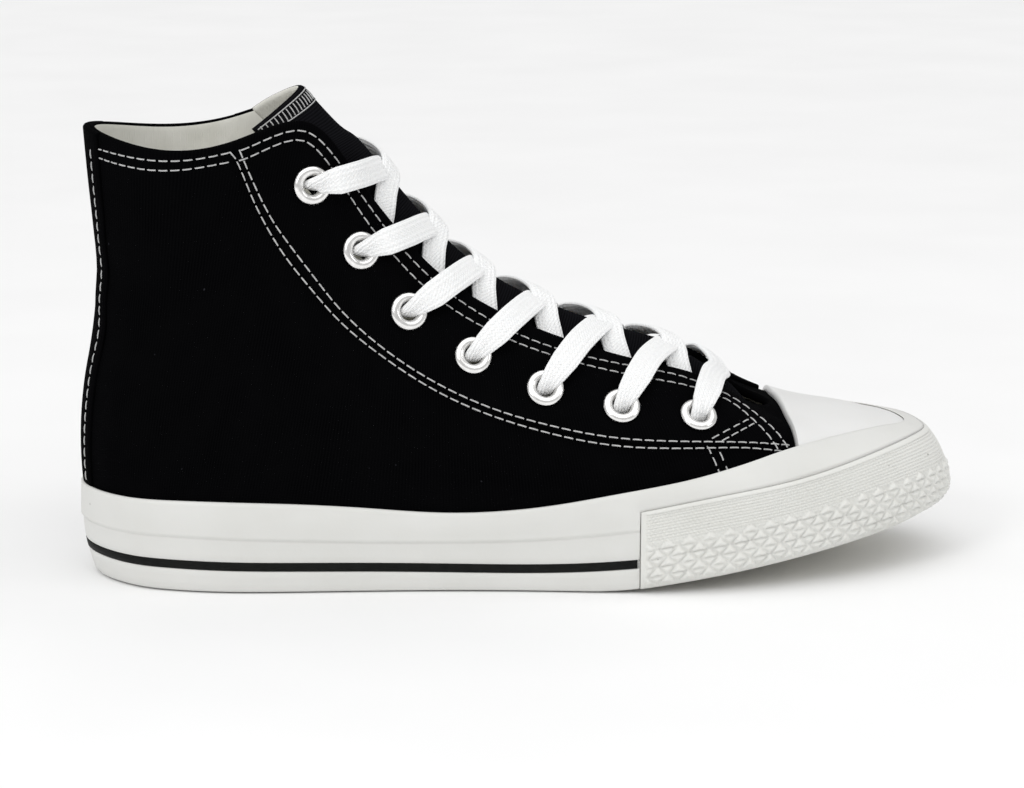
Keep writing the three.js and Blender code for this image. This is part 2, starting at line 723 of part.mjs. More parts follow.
function eyeletGeometry(place) {
  const { hole, barrel, flange, dome, sides } = EYELET;
  const seat = EYELET_CLEARANCE;
  const under = -(WALL + PANEL_GAP + EYESTAY + 0.2);
  const profile = [
    [hole, under], [barrel, under], [barrel, seat], [flange, seat],
    [flange - 0.7, dome + seat - 0.5], [flange - 1.8, dome + seat - 0.1], [hole + 0.5, dome + seat - 0.3],
    [hole, under],
  ].map(([radius, height]) => new THREE.Vector2(radius, height));
  const geometry = new THREE.LatheGeometry(profile, sides);
  geometry.applyMatrix4(place);
  return geometry;
}

// The frame of an eyelet on the face of the eyestay, its axis along +Y before it is placed
function eyeletPlace({ s, t }) {
  const normal = upperNormal(s, t);
  const turn = new THREE.Quaternion().setFromUnitVectors(new THREE.Vector3(0, 1, 0), normal);
  return new THREE.Matrix4().compose(upperAt(s, t, PANEL_GAP + EYESTAY), turn, new THREE.Vector3(1, 1, 1));
}

function holePunch(place) {
  const punch = new THREE.CylinderGeometry(
    PUNCH.radius, PUNCH.radius, PUNCH.length, PUNCH.sides,
  );
  punch.applyMatrix4(place);
  return toManifold(punch);
}

function punched(geometry, punches) {
  return fromManifold(punches.reduce((solid, punch) => solid.subtract(punch), toManifold(geometry)));
}

const MATERIALS = {
  canvas: new THREE.MeshStandardMaterial({ color: 0x08080a, roughness: 0.95 }),
  rubber: new THREE.MeshStandardMaterial({ color: 0xe6e5e0, roughness: 0.55 }),
  stripe: new THREE.MeshStandardMaterial({ color: 0x1b1c1b, roughness: 0.5 }),
  lining: new THREE.MeshStandardMaterial({ color: 0xdcdccf, roughness: 0.95 }),
  lace: new THREE.MeshStandardMaterial({ color: 0xebebea, roughness: 0.9 }),
  metal: new THREE.MeshStandardMaterial({ color: 0xd8d8d8, roughness: 0.3, metalness: 1 }),
};

const shoe = new THREE.Group();
shoe.position.x = -HEEL_SEAT;

function addPiece(name, geometry, material) {
  const mesh = new THREE.Mesh(geometry, MATERIALS[material]);
  mesh.name = name;
  shoe.add(mesh);
}

const eyeletPairs = EYELETS.map(({ x, z }) => [false, true].map((inner) => findOnUpper(x, z, inner)));
const eyeletPlaces = eyeletPairs.map((pair) => pair.map(eyeletPlace));
const punches = eyeletPlaces.map((pair) => pair.map(holePunch));

addPiece('outsole', outsoleGeometry(), 'rubber');
addPiece('sole_wall', soleWallGeometry(), 'rubber');
addPiece('pinstripe', pinstripeGeometry(), 'stripe');
addPiece('toe_bumper', bumperGeometry(), 'rubber');
addPiece('toe_cap', toeCapGeometry(), 'rubber');
addPiece('upper', punched(upperGeometry(), punches.flat()), 'canvas');
addPiece('insole', insoleGeometry(), 'lining');
addPiece('tongue', tongueGeometry(), 'canvas');
addPiece('heel_stay', heelStayGeometry(), 'canvas');
addPiece('eyestay_outer', punched(eyestayGeometry(false), punches.map((pair) => pair[0])), 'canvas');
addPiece('eyestay_inner', punched(eyestayGeometry(true), punches.map((pair) => pair[1])), 'canvas');
eyeletPlaces.forEach((pair, i) => {
  pair.forEach((place, side) => {
    addPiece(`eyelet_${side ? 'inner' : 'outer'}_${i + 1}`, eyeletGeometry(place), 'metal');
  });
});

LACES.forEach((lace, i) => {
  addPiece(`lace_crossing_${i + 1}`, crossingGeometry(eyeletPairs[i], lace), 'lace');
});
addPiece('lace_bar', barGeometry(eyeletPairs[EYELETS.length - 1]), 'lace');

export default shoe;
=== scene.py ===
# Looks of a canvas high top sneaker for the right foot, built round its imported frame
import math

import bmesh
import bpy
import numpy as np
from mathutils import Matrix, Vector


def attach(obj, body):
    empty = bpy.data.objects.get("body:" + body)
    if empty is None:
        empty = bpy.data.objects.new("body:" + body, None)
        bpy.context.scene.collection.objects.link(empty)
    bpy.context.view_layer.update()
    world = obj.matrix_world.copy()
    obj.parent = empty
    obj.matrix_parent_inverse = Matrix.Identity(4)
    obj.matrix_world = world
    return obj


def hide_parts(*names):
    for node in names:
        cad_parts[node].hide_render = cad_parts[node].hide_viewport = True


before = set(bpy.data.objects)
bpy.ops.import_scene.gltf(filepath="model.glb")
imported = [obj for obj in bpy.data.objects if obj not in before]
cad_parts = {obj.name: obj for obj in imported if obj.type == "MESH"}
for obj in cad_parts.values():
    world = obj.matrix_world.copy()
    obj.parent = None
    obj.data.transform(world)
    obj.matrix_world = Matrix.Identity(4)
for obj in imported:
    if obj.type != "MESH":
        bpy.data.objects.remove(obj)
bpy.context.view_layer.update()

scene = bpy.context.scene

# Driving sizes in millimetres, the same as in the part's source but for the stripe, which is 2.1 mm there
GAP = 0.3
HEEL_SEAT = 40
WALL = 2
OUTSOLE = 4
LIP = 0.4
LIP_WIDTH = 4
RIM = 1.4
FLOOR_HEEL = 15
FLOOR_BALL = 9
FLOOR_SLOPE = (40, 170)
INSOLE = 3
BUMPER = 2
STRIPE_HEIGHT = 2.5
CAP_EDGE_X = 211.5
TONGUE = 2.2
INNER_FLAP_RISE = 3
BEND_START = 148
BEND_END = 168
TOE_SLOPE = 0.162
BUMPER_END = 4.86
EYESTAY_START = 10.95
EYESTAY_END = 2.2
HEEL_STAY_HALF = 0.42

# Stations round the shoe, toe first and heel last: x, outer y and inner y of the sole's outline, how far
# inside it the upper's foot stands, and the opening's edge as x, z, outer y, inner y and the share of the
# inner flap's rise
STATIONS = np.array([
    [265.5, 6.5, 6.5, 9.5, 209, 47.8, 1, 1, 0],
    [257.5, -15, 27.5, 8.8, 206, 48.2, -6.5, 8.5, 0.1],
    [237.5, -31.5, 40.5, 6.6, 197, 51.4, -10.5, 12.5, 0.4],
    [212, -41.5, 46.5, 4.9, 184, 58.4, -13.5, 15, 0.9],
    [186, -45.8, 47, 4.2, 166, 63.6, -15.5, 16, 1],
    [160, -44.4, 42.5, 3.3, 146, 70.0, -17, 17, 1],
    [134, -40.6, 35.5, 3.2, 126, 78.6, -18, 18, 1],
    [108, -37.8, 30.5, 3.2, 107, 91.0, -18.5, 18.5, 1],
    [84, -36.4, 30.5, 3.2, 93, 106.4, -19, 19, 1],
    [62, -35.8, 32.5, 3.2, 81.5, 122.4, -20.5, 20.5, 0.6],
    [43, -34.6, 33.5, 3.2, 68, 137.2, -25, 24.5, 0],
    [26, -30.8, 30.5, 3.2, 47, 132.2, -31, 30, 0],
    [10.5, -21.8, 22, 3.1, 22, 130.4, -28, 27, 0],
    [0, 0, 0, 3.0, 4.6, 134, 0, 0, 0],
])

# Fullness of the upper off the straight line from foot to edge, at even levels between
FULLNESS = np.array([
    [8.8, 8.6, 7.0, 4.4, 1.6],
    [9.0, 8.8, 7.0, 4.2, 1.6],
    [8.0, 8.8, 7.2, 4.4, 1.8],
    [6.4, 9.8, 9.8, 7.4, 3.8],
    [5.2, 9.4, 10.8, 8.8, 5.2],
    [4.8, 8.6, 10.0, 8.4, 5.0],
    [4.2, 7.6, 8.6, 7.2, 4.4],
    [4.0, 6.5, 7.4, 6.4, 3.8],
    [3.5, 5.4, 6.4, 5.8, 3.5],
    [3.0, 4.3, 5.0, 4.8, 3.0],
    [2.5, 2.8, 2.6, 2.6, 1.8],
    [2.0, 1.6, -0.4, -1.2, -0.8],
    [2.0, 1.3, -1.4, -2.4, -1.3],
    [1.8, 1.0, -2.2, -3.4, -1.7],
])

# Heights round the sole wall: its top, ridge, stripe and the bumper's top, then how far its bottom edge and
# the bumper's top edge lie inside the outline
TOP, RIDGE, STRIPE, BUMPER_TOP, LOW_IN, BUMPER_IN = range(6)
SOLE_LEVELS = np.array([
    [38.6, 31, 22, 38.6, 3.0, 7.4],
    [39.8, 30, 21, 39.4, 3.0, 6.4],
    [40.0, 28, 18, 37.6, 2.6, 3.4],
    [39.0, 26, 15, 33.0, 2.2, 1.0],
    [34.2, 23, 12, 29.2, 2.0, 0.4],
    [29.9, 19.7, 9.0, 24.2, 2.0, 0.2],
    [25.7, 17.0, 7.5, 20, 2.0, 0.2],
    [24.2, 16.2, 7.6, 19, 2.0, 0.2],
    [25.6, 16.4, 8.0, 19, 2.0, 0.2],
    [27.0, 17.1, 8.3, 19, 2.2, 0.2],
    [27.7, 17.8, 8.6, 19, 2.5, 0.2],
    [28.0, 18.2, 8.9, 19, 3.0, 0.2],
    [28.0, 18.3, 9.1, 19, 3.8, 0.2],
    [28.0, 18.4, 9.4, 19, 4.2, 0.2],
])

# x and z along the lower line of the eyestay, from the collar to the toe cap
SEAM = np.array([
    [45, 136], [48.7, 127.1], [53.3, 115.9], [59.7, 103.6], [68.7, 91.4], [85.1, 74.6],
    [105.8, 60.6], [123.4, 52.8], [140.8, 47.6], [162, 44.2], [184, 43], [215, 41.5],
])

# x and z of the eyelets, top pair first
EYELETS = np.array([
    [69.5, 119.8], [83.4, 100.2], [97.2, 82.2], [115.9, 68.9], [136.9, 59.1], [159.2, 53.5], [181.9, 50.1],
])

# Stations of the throat that the tongue follows, its crown's rise over the flaps' edges, and the level of
# the upper that it reaches down to under them
TONGUE_ROWS = np.array([
    [1, -4.5, 0.88], [2, 0.5, 0.84], [3.5, 3.5, 0.8], [5, 5, 0.8],
    [6.5, 6, 0.82], [8, 6.5, 0.84], [9.2, 6, 0.86],
])
TONGUE_TOP = np.array([
    [[62, -20, 126], [70, -15.5, 130], [79.5, 1, 133], [71, 16, 131.5], [63, 20.5, 127.5]],
    [[54, -19, 135], [60.5, -13.5, 139.5], [68.5, 2, 145], [61, 15, 141], [54.5, 19.5, 136.5]],
])

# Stations where the lace out of an eyelet leaves its flap, and where it tucks in under the other one
LACES = np.array([[8.96, 8.1], [7.8, 7.1], [6.85, 6.2], [5.9, 5.2], [4.9, 4.2], [3.85, 3.15]])
BAR_LEAVE = 2.75

HEEL = len(STATIONS) - 1
RING = 2 * HEEL


def lerp(a, b, share):
    return a + (b - a) * share


def unit(vectors):
    return vectors / np.linalg.norm(vectors, axis=-1, keepdims=True)


def smoothstep(low, high, value):
    share = np.clip((value - low) / (high - low), 0, 1)
    return share * share * (3 - 2 * share)


def control_points(points, closed):
    """Control points along the first axis whose uniform cubic B-spline passes through the points."""
    points = np.asarray(points, float)
    control = points.copy()
    count = len(points)
    first = 0 if closed else 1
    for _ in range(40):
        for i in range(first, count - first):
            control[i] = (6 * points[i] - control[i - 1] - control[(i + 1) % count]) / 4
    return control


def around_place(count, u, closed):
    """The four control points round each place u, as indices and weights."""
    start = np.floor(u).astype(int)
    if not closed:
        start = np.clip(start, 0, count - 2)
    f = u - start
    g = 1 - f
    weights = np.stack([g**3, 3 * f**3 - 6 * f**2 + 4, 3 * g**3 - 6 * g**2 + 4, f**3], -1) / 6
    index = start[..., None] + np.arange(-1, 3)
    return (index % count if closed else index + 1), weights


def padded(control):
    """An open row of control points, continued straight by one at both ends."""
    return np.concatenate([[2 * control[0] - control[1]], control, [2 * control[-1] - control[-2]]])


def spline_at(control, u, closed):
    index, weights = around_place(len(control), np.asarray(u, float), closed)
    row = control if closed else padded(control)
    return np.einsum("...i,...ik->...k", weights, row[index])


def surface_control(grid, closed):
    rows = np.stack([control_points(row, False) for row in grid])
    return np.stack([control_points(rows[:, j], closed) for j in range(rows.shape[1])], 1)


def surface_at(control, u, v, closed):
    u, v = np.broadcast_arrays(np.asarray(u, float), np.asarray(v, float))
    rows, row_weights = around_place(control.shape[0], u, closed)
    columns, column_weights = around_place(control.shape[1], v, False)
    grid = control if closed else padded(control)
    grid = np.stack([padded(row) for row in grid])
    near = grid[rows[..., :, None], columns[..., None, :]]
    return np.einsum("...i,...j,...ijk->...k", row_weights, column_weights, near)


def ring_of(pick):
    return np.array([pick(min(k, RING - k), k > HEEL) for k in range(RING)], float)


OUTLINE = control_points(ring_of(lambda row, inner: STATIONS[row, [0, 2 if inner else 1]]), True)
LEVELS = control_points(ring_of(lambda row, inner: SOLE_LEVELS[row]), True)


def level_at(s, column):
    return spline_at(LEVELS, s, True)[..., column]


def outline_at(s, inset, z):
    """A point of the sole's outline, moved inward in plan."""
    here = spline_at(OUTLINE, s, True)
    along = spline_at(OUTLINE, np.asarray(s) + 0.05, True) - spline_at(OUTLINE, np.asarray(s) - 0.05, True)
    along = unit(along)
    x = here[..., 0] + inset * along[..., 1]
    y = here[..., 1] - inset * along[..., 0]
    return np.stack(np.broadcast_arrays(x, y, z), -1)


def spring_at(x):
    """Height of the sole's underside at x: flat, a bend at the ball, then a straight rise to the toe."""
    bend = BEND_END - BEND_START
    curved = TOE_SLOPE * (np.clip(x, BEND_START, BEND_END) - BEND_START) ** 2 / (2 * bend)
    return curved + TOE_SLOPE * np.maximum(x - BEND_END, 0)


def floor_at(x):
    """Height of the foot bed at x."""
    return spring_at(x) + lerp(FLOOR_HEEL, FLOOR_BALL, smoothstep(*FLOOR_SLOPE, x))


def way_round(points):
    """The way round a closed ring at each of its points."""
    return unit(np.roll(points, -1, 0) - np.roll(points, 1, 0))


def upper_keys():
    """Points of the upper's outer face, a row for each station, from its foot to its edge."""
    stations = np.arange(RING)
    row = np.minimum(stations, RING - stations)
    inner = stations > HEEL
    feet = outline_at(stations, STATIONS[row, 3], 0.0)
    feet[:, 2] = floor_at(feet[:, 0]) + GAP
    # The inner flap rises square to the slope of the throat, forward and up
    rise = np.where(inner, STATIONS[row, 8] * INNER_FLAP_RISE, 0)
    edges = np.stack([
        STATIONS[row, 4] + 0.6 * rise,
        np.where(inner, STATIONS[row, 7], STATIONS[row, 6]),
        STATIONS[row, 5] + 0.8 * rise,
    ], -1)
    out = unit(np.cross(edges - feet, way_round(feet) + way_round(edges)))
    fullness = np.pad(FULLNESS[row], ((0, 0), (1, 1)))
    shares = np.linspace(0, 1, fullness.shape[1])
    return feet[:, None] + (edges - feet)[:, None] * shares[:, None] + out[:, None] * fullness[..., None]


UPPER = surface_control(upper_keys(), True)
UPPER_STEPS = UPPER.shape[1] - 1


def upper_face(s, t):
    return surface_at(UPPER, s, np.asarray(t, float) * UPPER_STEPS, True)


def upper_normal(s, t):
    step = 0.01
    around = upper_face(s + step, t) - upper_face(s - step, t)
    up = upper_face(s, np.minimum(t + step, 1)) - upper_face(s, np.maximum(t - step, 0))
    return unit(np.cross(up, around))


def upper_at(s, t, out=0.0):
    """A point of the upper's outer face moved out along its normal, t from 0 at its foot to 1 at its edge."""
    s, t = np.broadcast_arrays(np.asarray(s, float), np.asarray(t, float))
    return upper_face(s, t) + upper_normal(s, t) * np.asarray(out, float)[..., None]


def level_where(s, measure, low=0.0, high=1.0):
    """The level at which a rising measure of the upper's face reaches zero, at each station."""
    s = np.asarray(s, float)
    low = np.broadcast_to(np.asarray(low, float), s.shape).copy()
    high = np.broadcast_to(np.asarray(high, float), s.shape).copy()
    for _ in range(24):
        middle = (low + high) / 2
        below = measure(upper_face(s, middle)) < 0
        low = np.where(below, middle, low)
        high = np.where(below, high, middle)
    return (low + high) / 2


def level_at_height(s, z):
    return level_where(s, lambda point: point[..., 2] - z, 0, 0.75)


def seam_height(x):
    return np.interp(x, SEAM[:, 0], SEAM[:, 1])


# First guess of a point's station from its x, for the search below
GUESS_X = [0, 8, 40, 62, 90, 120, 160, 200, 240]
GUESS_STATION = [12.9, 12, 10.3, 9.2, 7.6, 6.2, 4.7, 3.2, 2]


def find_on_upper(x, z, inner):
    """Station and level of the upper's face at x and z on one side, by damped Newton steps."""
    x, z = np.broadcast_arrays(np.asarray(x, float), np.asarray(z, float))
    sign = -1.0 if inner else 1.0
    step, damping = 0.01, 0.6
    s = np.interp(x, GUESS_X, GUESS_STATION)
    t = np.full(x.shape, 0.6)
    for _ in range(40):
        here = upper_face(sign * s, t)
        ds = (upper_face(sign * (s + step), t) - here) / step
        dt = (here - upper_face(sign * s, t - step)) / step
        determinant = ds[..., 0] * dt[..., 2] - dt[..., 0] * ds[..., 2]
        miss_x = x - here[..., 0]
        miss_z = z - here[..., 2]
        s = s + damping * (miss_x * dt[..., 2] - miss_z * dt[..., 0]) / determinant
        t = t + damping * (miss_z * ds[..., 0] - miss_x * ds[..., 2]) / determinant
        s = np.clip(s, 0.5, HEEL - 0.02)
        t = np.clip(t, 0.02, 1)
    return sign * s, t


# Camera and frame
MM = 0.001
CAMERA = {"azimuth": -5.0, "elevation": 12.2, "distance": 1.0, "target": (0.090, 0.0, 0.0515), "lens": 116.5}


def place_camera():
    azimuth, elevation = math.radians(CAMERA["azimuth"]), math.radians(CAMERA["elevation"])
    away = Vector((
        math.sin(azimuth) * math.cos(elevation),
        -math.cos(azimuth) * math.cos(elevation),
        math.sin(elevation),
    ))
    camera = bpy.data.objects.new("camera", bpy.data.cameras.new("camera"))
    camera.data.lens = CAMERA["lens"]
    camera.data.sensor_width = 36
    camera.data.clip_start = 0.05
    camera.location = Vector(CAMERA["target"]) + away * CAMERA["distance"]
    camera.rotation_euler = away.to_track_quat("Z", "Y").to_euler()
    scene.collection.objects.link(camera)
    scene.camera = camera


place_camera()


def in_frame(points):
    """Millimetres from the back of the heel, turned to the frame's metres."""
    return (np.asarray(points, float) - [HEEL_SEAT, 0, 0]) * MM


def add_piece(name, points, faces, finishes, finish_of=None, uv=None):
    """A mesh object from points in millimetres, faces of equal length and a UV pair for each corner."""
    faces = np.asarray(faces, np.int32)
    mesh = bpy.data.meshes.new(name)
    points = in_frame(points).reshape(-1, 3)
    mesh.vertices.add(len(points))
    mesh.vertices.foreach_set("co", points.astype(np.float32).ravel())
    corners = faces.shape[1]
    mesh.loops.add(faces.size)
    mesh.loops.foreach_set("vertex_index", faces.ravel())
    mesh.polygons.add(len(faces))
    mesh.polygons.foreach_set("loop_start", np.arange(0, faces.size, corners, dtype=np.int32))
    if uv is not None:
        layer = mesh.uv_layers.new(name="cloth")
        layer.data.foreach_set("uv", np.asarray(uv, np.float32).ravel())
    for finish in finishes:
        mesh.materials.append(finish)
    if finish_of is not None:
        mesh.polygons.foreach_set("material_index", np.asarray(finish_of, np.int32))
    mesh.update(calc_edges=True)
    mesh.validate()
    mesh.polygons.foreach_set("use_smooth", np.full(len(mesh.polygons), True))
    piece = bpy.data.objects.new(name, mesh)
    scene.collection.objects.link(piece)
    return piece


def grid_faces(rows, columns, wrap_rows=False, wrap_columns=False):
    """Corner indices of the quads of a grid, and the same corners as unwrapped row and column numbers."""
    row_steps = rows if wrap_rows else rows - 1
    column_steps = columns if wrap_columns else columns - 1
    i, j = np.meshgrid(np.arange(row_steps), np.arange(column_steps), indexing="ij")
    i, j = i.ravel(), j.ravel()
    row = np.stack([i, i, i + 1, i + 1], -1)
    column = np.stack([j, j + 1, j + 1, j], -1)
    return (row % rows) * columns + column % columns, row, column


def grid_piece(name, grid, finishes, wrap_rows=False, wrap_columns=False, uv=None, finish_rows=None):
    """A piece from a grid of points. uv holds one pair for each unwrapped row and column."""
    faces, row, column = grid_faces(*grid.shape[:2], wrap_rows, wrap_columns)
    corner_uv = None if uv is None else uv[row, column]
    finish_of = None if finish_rows is None else finish_rows[row[:, 0]]
    return add_piece(name, grid, faces, finishes, finish_of, corner_uv)


def face_outward(piece):
    """Turns a closed piece's faces so that they point out."""
    mesh = piece.data
    mesh.calc_loop_triangles()
    index = np.empty(len(mesh.loop_triangles) * 3, np.int32)
    mesh.loop_triangles.foreach_get("vertices", index)
    co = np.empty(len(mesh.vertices) * 3, np.float32)
    mesh.vertices.foreach_get("co", co)
    a, b, c = co.reshape(-1, 3)[index.reshape(-1, 3)].astype(float).transpose(1, 0, 2)
    if np.einsum("ij,ij->", a, np.cross(b, c)) < 0:
        mesh.flip_normals()
    return piece


def close_ends(piece):
    """Fills the open ends of a tube, so that the piece is closed."""
    work = bmesh.new()
    work.from_mesh(piece.data)
    edges = [edge for edge in work.edges if edge.is_boundary]
    bmesh.ops.holes_fill(work, edges=edges, sides=0)
    work.to_mesh(piece.data)
    work.free()
    return piece


def closed(piece):
    """Closes a piece's open ends and turns its faces out."""
    close_ends(piece)
    return face_outward(piece)


def hand_in(piece, slot, *nodes):
    """The piece rides on the shoe's one body and stands for CAD nodes. Its slot is not used."""
    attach(piece, "root")
    if nodes:
        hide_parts(*nodes)
    return piece


def arc_lengths(points):
    """Distance along each row of points, from its first."""
    steps = np.linalg.norm(np.diff(points, axis=-2), axis=-1)
    return np.concatenate([np.zeros(steps.shape[:-1] + (1,)), np.cumsum(steps, -1)], -1)


# Finishes
def linear(code):
    """The linear colour of an sRGB hex value."""
    parts = [int(code[i:i + 2], 16) / 255 for i in (1, 3, 5)]
    return [p / 12.92 if p <= 0.04045 else ((p + 0.055) / 1.055) ** 2.4 for p in parts] + [1.0]


def add(tree, kind, inputs=None, **settings):
    """A node with its settings, and its inputs as values or as links from other nodes' outputs."""
    node = tree.nodes.new(kind)
    for name, value in settings.items():
        setattr(node, name, value)
    for name, value in (inputs or {}).items():
        socket = node.inputs[name]
        if isinstance(value, bpy.types.NodeSocket):
            tree.links.new(value, socket)
        else:
            socket.default_value = value
    return node


def new_finish(name, inputs):
    """A material with one Principled BSDF, and its tree and shader."""
    finish = bpy.data.materials.new(name)
    finish.use_nodes = True
    tree = finish.node_tree
    shader = tree.nodes["Principled BSDF"]
    for socket, value in inputs.items():
        shader.inputs[socket].default_value = value
    return finish, tree, shader


# Places of a Mix node's two colours among its inputs, and of the mixed colour among its outputs
COLOUR_A, COLOUR_B, MIXED = 6, 7, 2


def spotted(tree, coordinates, scale, detail, low, high, dark, light):
    """Two colours mixed by a noise, between two of its values."""
    noise = add(tree, "ShaderNodeTexNoise", {"Vector": coordinates, "Scale": scale, "Detail": detail})
    share = add(tree, "ShaderNodeMapRange", {
        "Value": noise.outputs["Fac"], "From Min": low, "From Max": high,
    })
    colours = {"Factor": share.outputs["Result"], COLOUR_A: linear(dark), COLOUR_B: linear(light)}
    return add(tree, "ShaderNodeMix", colours, data_type="RGBA").outputs[MIXED]


def specked(tree, coordinates, colour, scale, rim, core, amount, speck):
    """A colour with small round specks of another one, each fading from its core to its rim."""
    cells = add(tree, "ShaderNodeTexVoronoi", {"Vector": coordinates, "Scale": scale, "Randomness": 1.0})
    share = add(tree, "ShaderNodeMapRange", {
        "Value": cells.outputs["Distance"], "From Min": rim, "From Max": core, "To Max": amount,
    })
    colours = {"Factor": share.outputs["Result"], COLOUR_A: colour, COLOUR_B: linear(speck)}
    return add(tree, "ShaderNodeMix", colours, data_type="RGBA").outputs[MIXED]


def thread_waves(tree, coordinates, pitches, distortion):
    """Two sets of threads crossing at right angles, as one height, and the first set alone.

    pitches are the distances between threads in millimetres, and a wave at scale 1 is pi / 10 long.
    """
    heights = []
    for direction, pitch in zip("XY", pitches):
        inputs = {
            "Vector": coordinates, "Scale": math.pi / 10 / pitch, "Distortion": distortion, "Detail": 1.0,
        }
        wave = add(tree, "ShaderNodeTexWave", inputs, bands_direction=direction)
        heights.append(wave.outputs["Fac"])
    both = add(tree, "ShaderNodeMath", {0: heights[0], 1: heights[1]}, operation="ADD")
    return both.outputs[0], heights[0]


def millimetres(tree):
    """Object coordinates in millimetres."""
    place = add(tree, "ShaderNodeTexCoord").outputs["Object"]
    return add(tree, "ShaderNodeVectorMath", {0: place, "Scale": 1 / MM}, operation="SCALE").outputs[0]


def dress(tree, shader, colour, height, strength, depth):
    """Gives the shader its colour, and a height as bump, so many millimetres deep."""
    bump = add(tree, "ShaderNodeBump", {"Height": height, "Strength": strength, "Distance": depth * MM})
    tree.links.new(colour, shader.inputs["Base Color"])
    tree.links.new(bump.outputs["Normal"], shader.inputs["Normal"])


# Cotton duck, piece dyed black: thick warp threads show as upright ribs, lint clings to it, and it gives
# almost no gloss. Its threads, about half a millimetre apart, are too fine to show, and are drawn coarser
def black_duck(name="black_cotton_duck", dark="#030304", light="#060607", rib="#070708"):
    finish, tree, shader = new_finish(name, {"Roughness": 0.95, "Specular IOR Level": 0.01})
    cloth = add(tree, "ShaderNodeUVMap", uv_map="cloth").outputs["UV"]
    weave, ribs = thread_waves(tree, cloth, (0.85, 0.6), 0.6)
    dyed = spotted(tree, cloth, 0.09, 4, 0.35, 0.7, dark, light)
    colours = {"Factor": ribs, COLOUR_A: dyed, COLOUR_B: linear(rib)}
    ribbed = add(tree, "ShaderNodeMix", colours, data_type="RGBA").outputs[MIXED]
    linted = specked(tree, cloth, ribbed, 0.11, 0.035, 0.02, 1.0, "#26262A")
    dress(tree, shader, linted, weave, 0.5, 0.18)
    return finish


# Bleached cotton drill, glued inside as lining: matt and a little yellow. Its threads are drawn 0.7 mm
# apart, coarser than real ones, so that they show
def cream_drill():
    finish, tree, shader = new_finish("cream_cotton_lining", {
        "Roughness": 0.9, "Specular IOR Level": 0.25, "Sheen Weight": 0.15,
    })
    place = millimetres(tree)
    cotton = spotted(tree, place, 0.12, 5, 0.3, 0.7, "#D6D5CC", "#E2E1DA")
    weave, _ = thread_waves(tree, place, (0.7, 0.7), 1.0)
    dress(tree, shader, cotton, weave, 0.35, 0.12)
    return finish


# Natural rubber filled with titanium white and cured on the shoe: soft gloss, faint grime and small specks
def white_rubber(name, base, shade, roughness, relief, specks):
    finish, tree, shader = new_finish(name, {
        "Roughness": roughness, "IOR": 1.52, "Subsurface Weight": 0.06, "Subsurface Scale": 0.002,
        "Subsurface Radius": (1.0, 0.9, 0.8),
    })
    place = millimetres(tree)
    body = spotted(tree, place, 0.035, 4, 0.3, 0.75, base, shade)
    if specks:
        body = specked(tree, place, body, 0.085, 0.04, 0.015, specks, "#6F6C66")
    fine = add(tree, "ShaderNodeTexNoise", {"Vector": place, "Scale": 1.1, "Detail": 6.0, "Roughness": 0.6})
    dress(tree, shader, body, fine.outputs["Fac"], 0.4, relief)
    return finish


# Calendered black rubber strip, laid into the white wall: smooth, with hardly any gloss
def black_rubber():
    finish, tree, shader = new_finish("black_rubber_strip", {
        "Roughness": 0.6, "IOR": 1.52, "Specular IOR Level": 0.12,
    })
    place = millimetres(tree)
    body = spotted(tree, place, 0.4, 4, 0.35, 0.7, "#0D0E0D", "#151615")
    fine = add(tree, "ShaderNodeTexNoise", {"Vector": place, "Scale": 2.0, "Detail": 4.0})
    dress(tree, shader, body, fine.outputs["Fac"], 0.3, 0.05)
    return finish


# Bleached cotton braided flat: slanting yarns, matt and a little fluffy. They are drawn 0.9 mm apart,
# coarser than real ones, so that they show
def braided_cotton():
    finish, tree, shader = new_finish("white_braided_cotton", {
        "Roughness": 0.85, "Specular IOR Level": 0.3, "Sheen Weight": 0.35, "Sheen Roughness": 0.5,
        "Subsurface Weight": 0.12, "Subsurface Scale": 0.0015, "Subsurface Radius": (1.0, 0.95, 0.9),
    })
    cloth = add(tree, "ShaderNodeUVMap", uv_map="cloth").outputs["UV"]
    turned = add(tree, "ShaderNodeMapping", {"Vector": cloth, "Rotation": (0, 0, math.radians(35))})
    yarns, _ = thread_waves(tree, turned.outputs["Vector"], (0.9, 0.9), 0.8)
    body = spotted(tree, cloth, 0.8, 5, 0.3, 0.7, "#F4F5F5", "#FCFCFC")
    fuzz = add(tree, "ShaderNodeTexNoise", {"Vector": cloth, "Scale": 5.0, "Detail": 5.0})
    height = add(tree, "ShaderNodeMath", {0: yarns, 1: fuzz.outputs["Fac"]}, operation="ADD")
    dress(tree, shader, body, height.outputs[0], 0.6, 0.18)
    return finish


# Spun polyester sewing thread, bleached: a slight sheen and the twist of its plies
def sewing_thread():
    finish, tree, shader = new_finish("white_sewing_thread", {
        "Roughness": 0.6, "Specular IOR Level": 0.4, "Sheen Weight": 0.2,
    })
    place = millimetres(tree)
    body = spotted(tree, place, 0.8, 3, 0.3, 0.7, "#A9A9A9", "#C6C6C5")
    twist = {"Vector": place, "Scale": 1.1, "Distortion": 2.0}
    plies = add(tree, "ShaderNodeTexWave", twist, bands_direction="DIAGONAL")
    dress(tree, shader, body, plies.outputs["Fac"], 0.5, 0.1)
    return finish


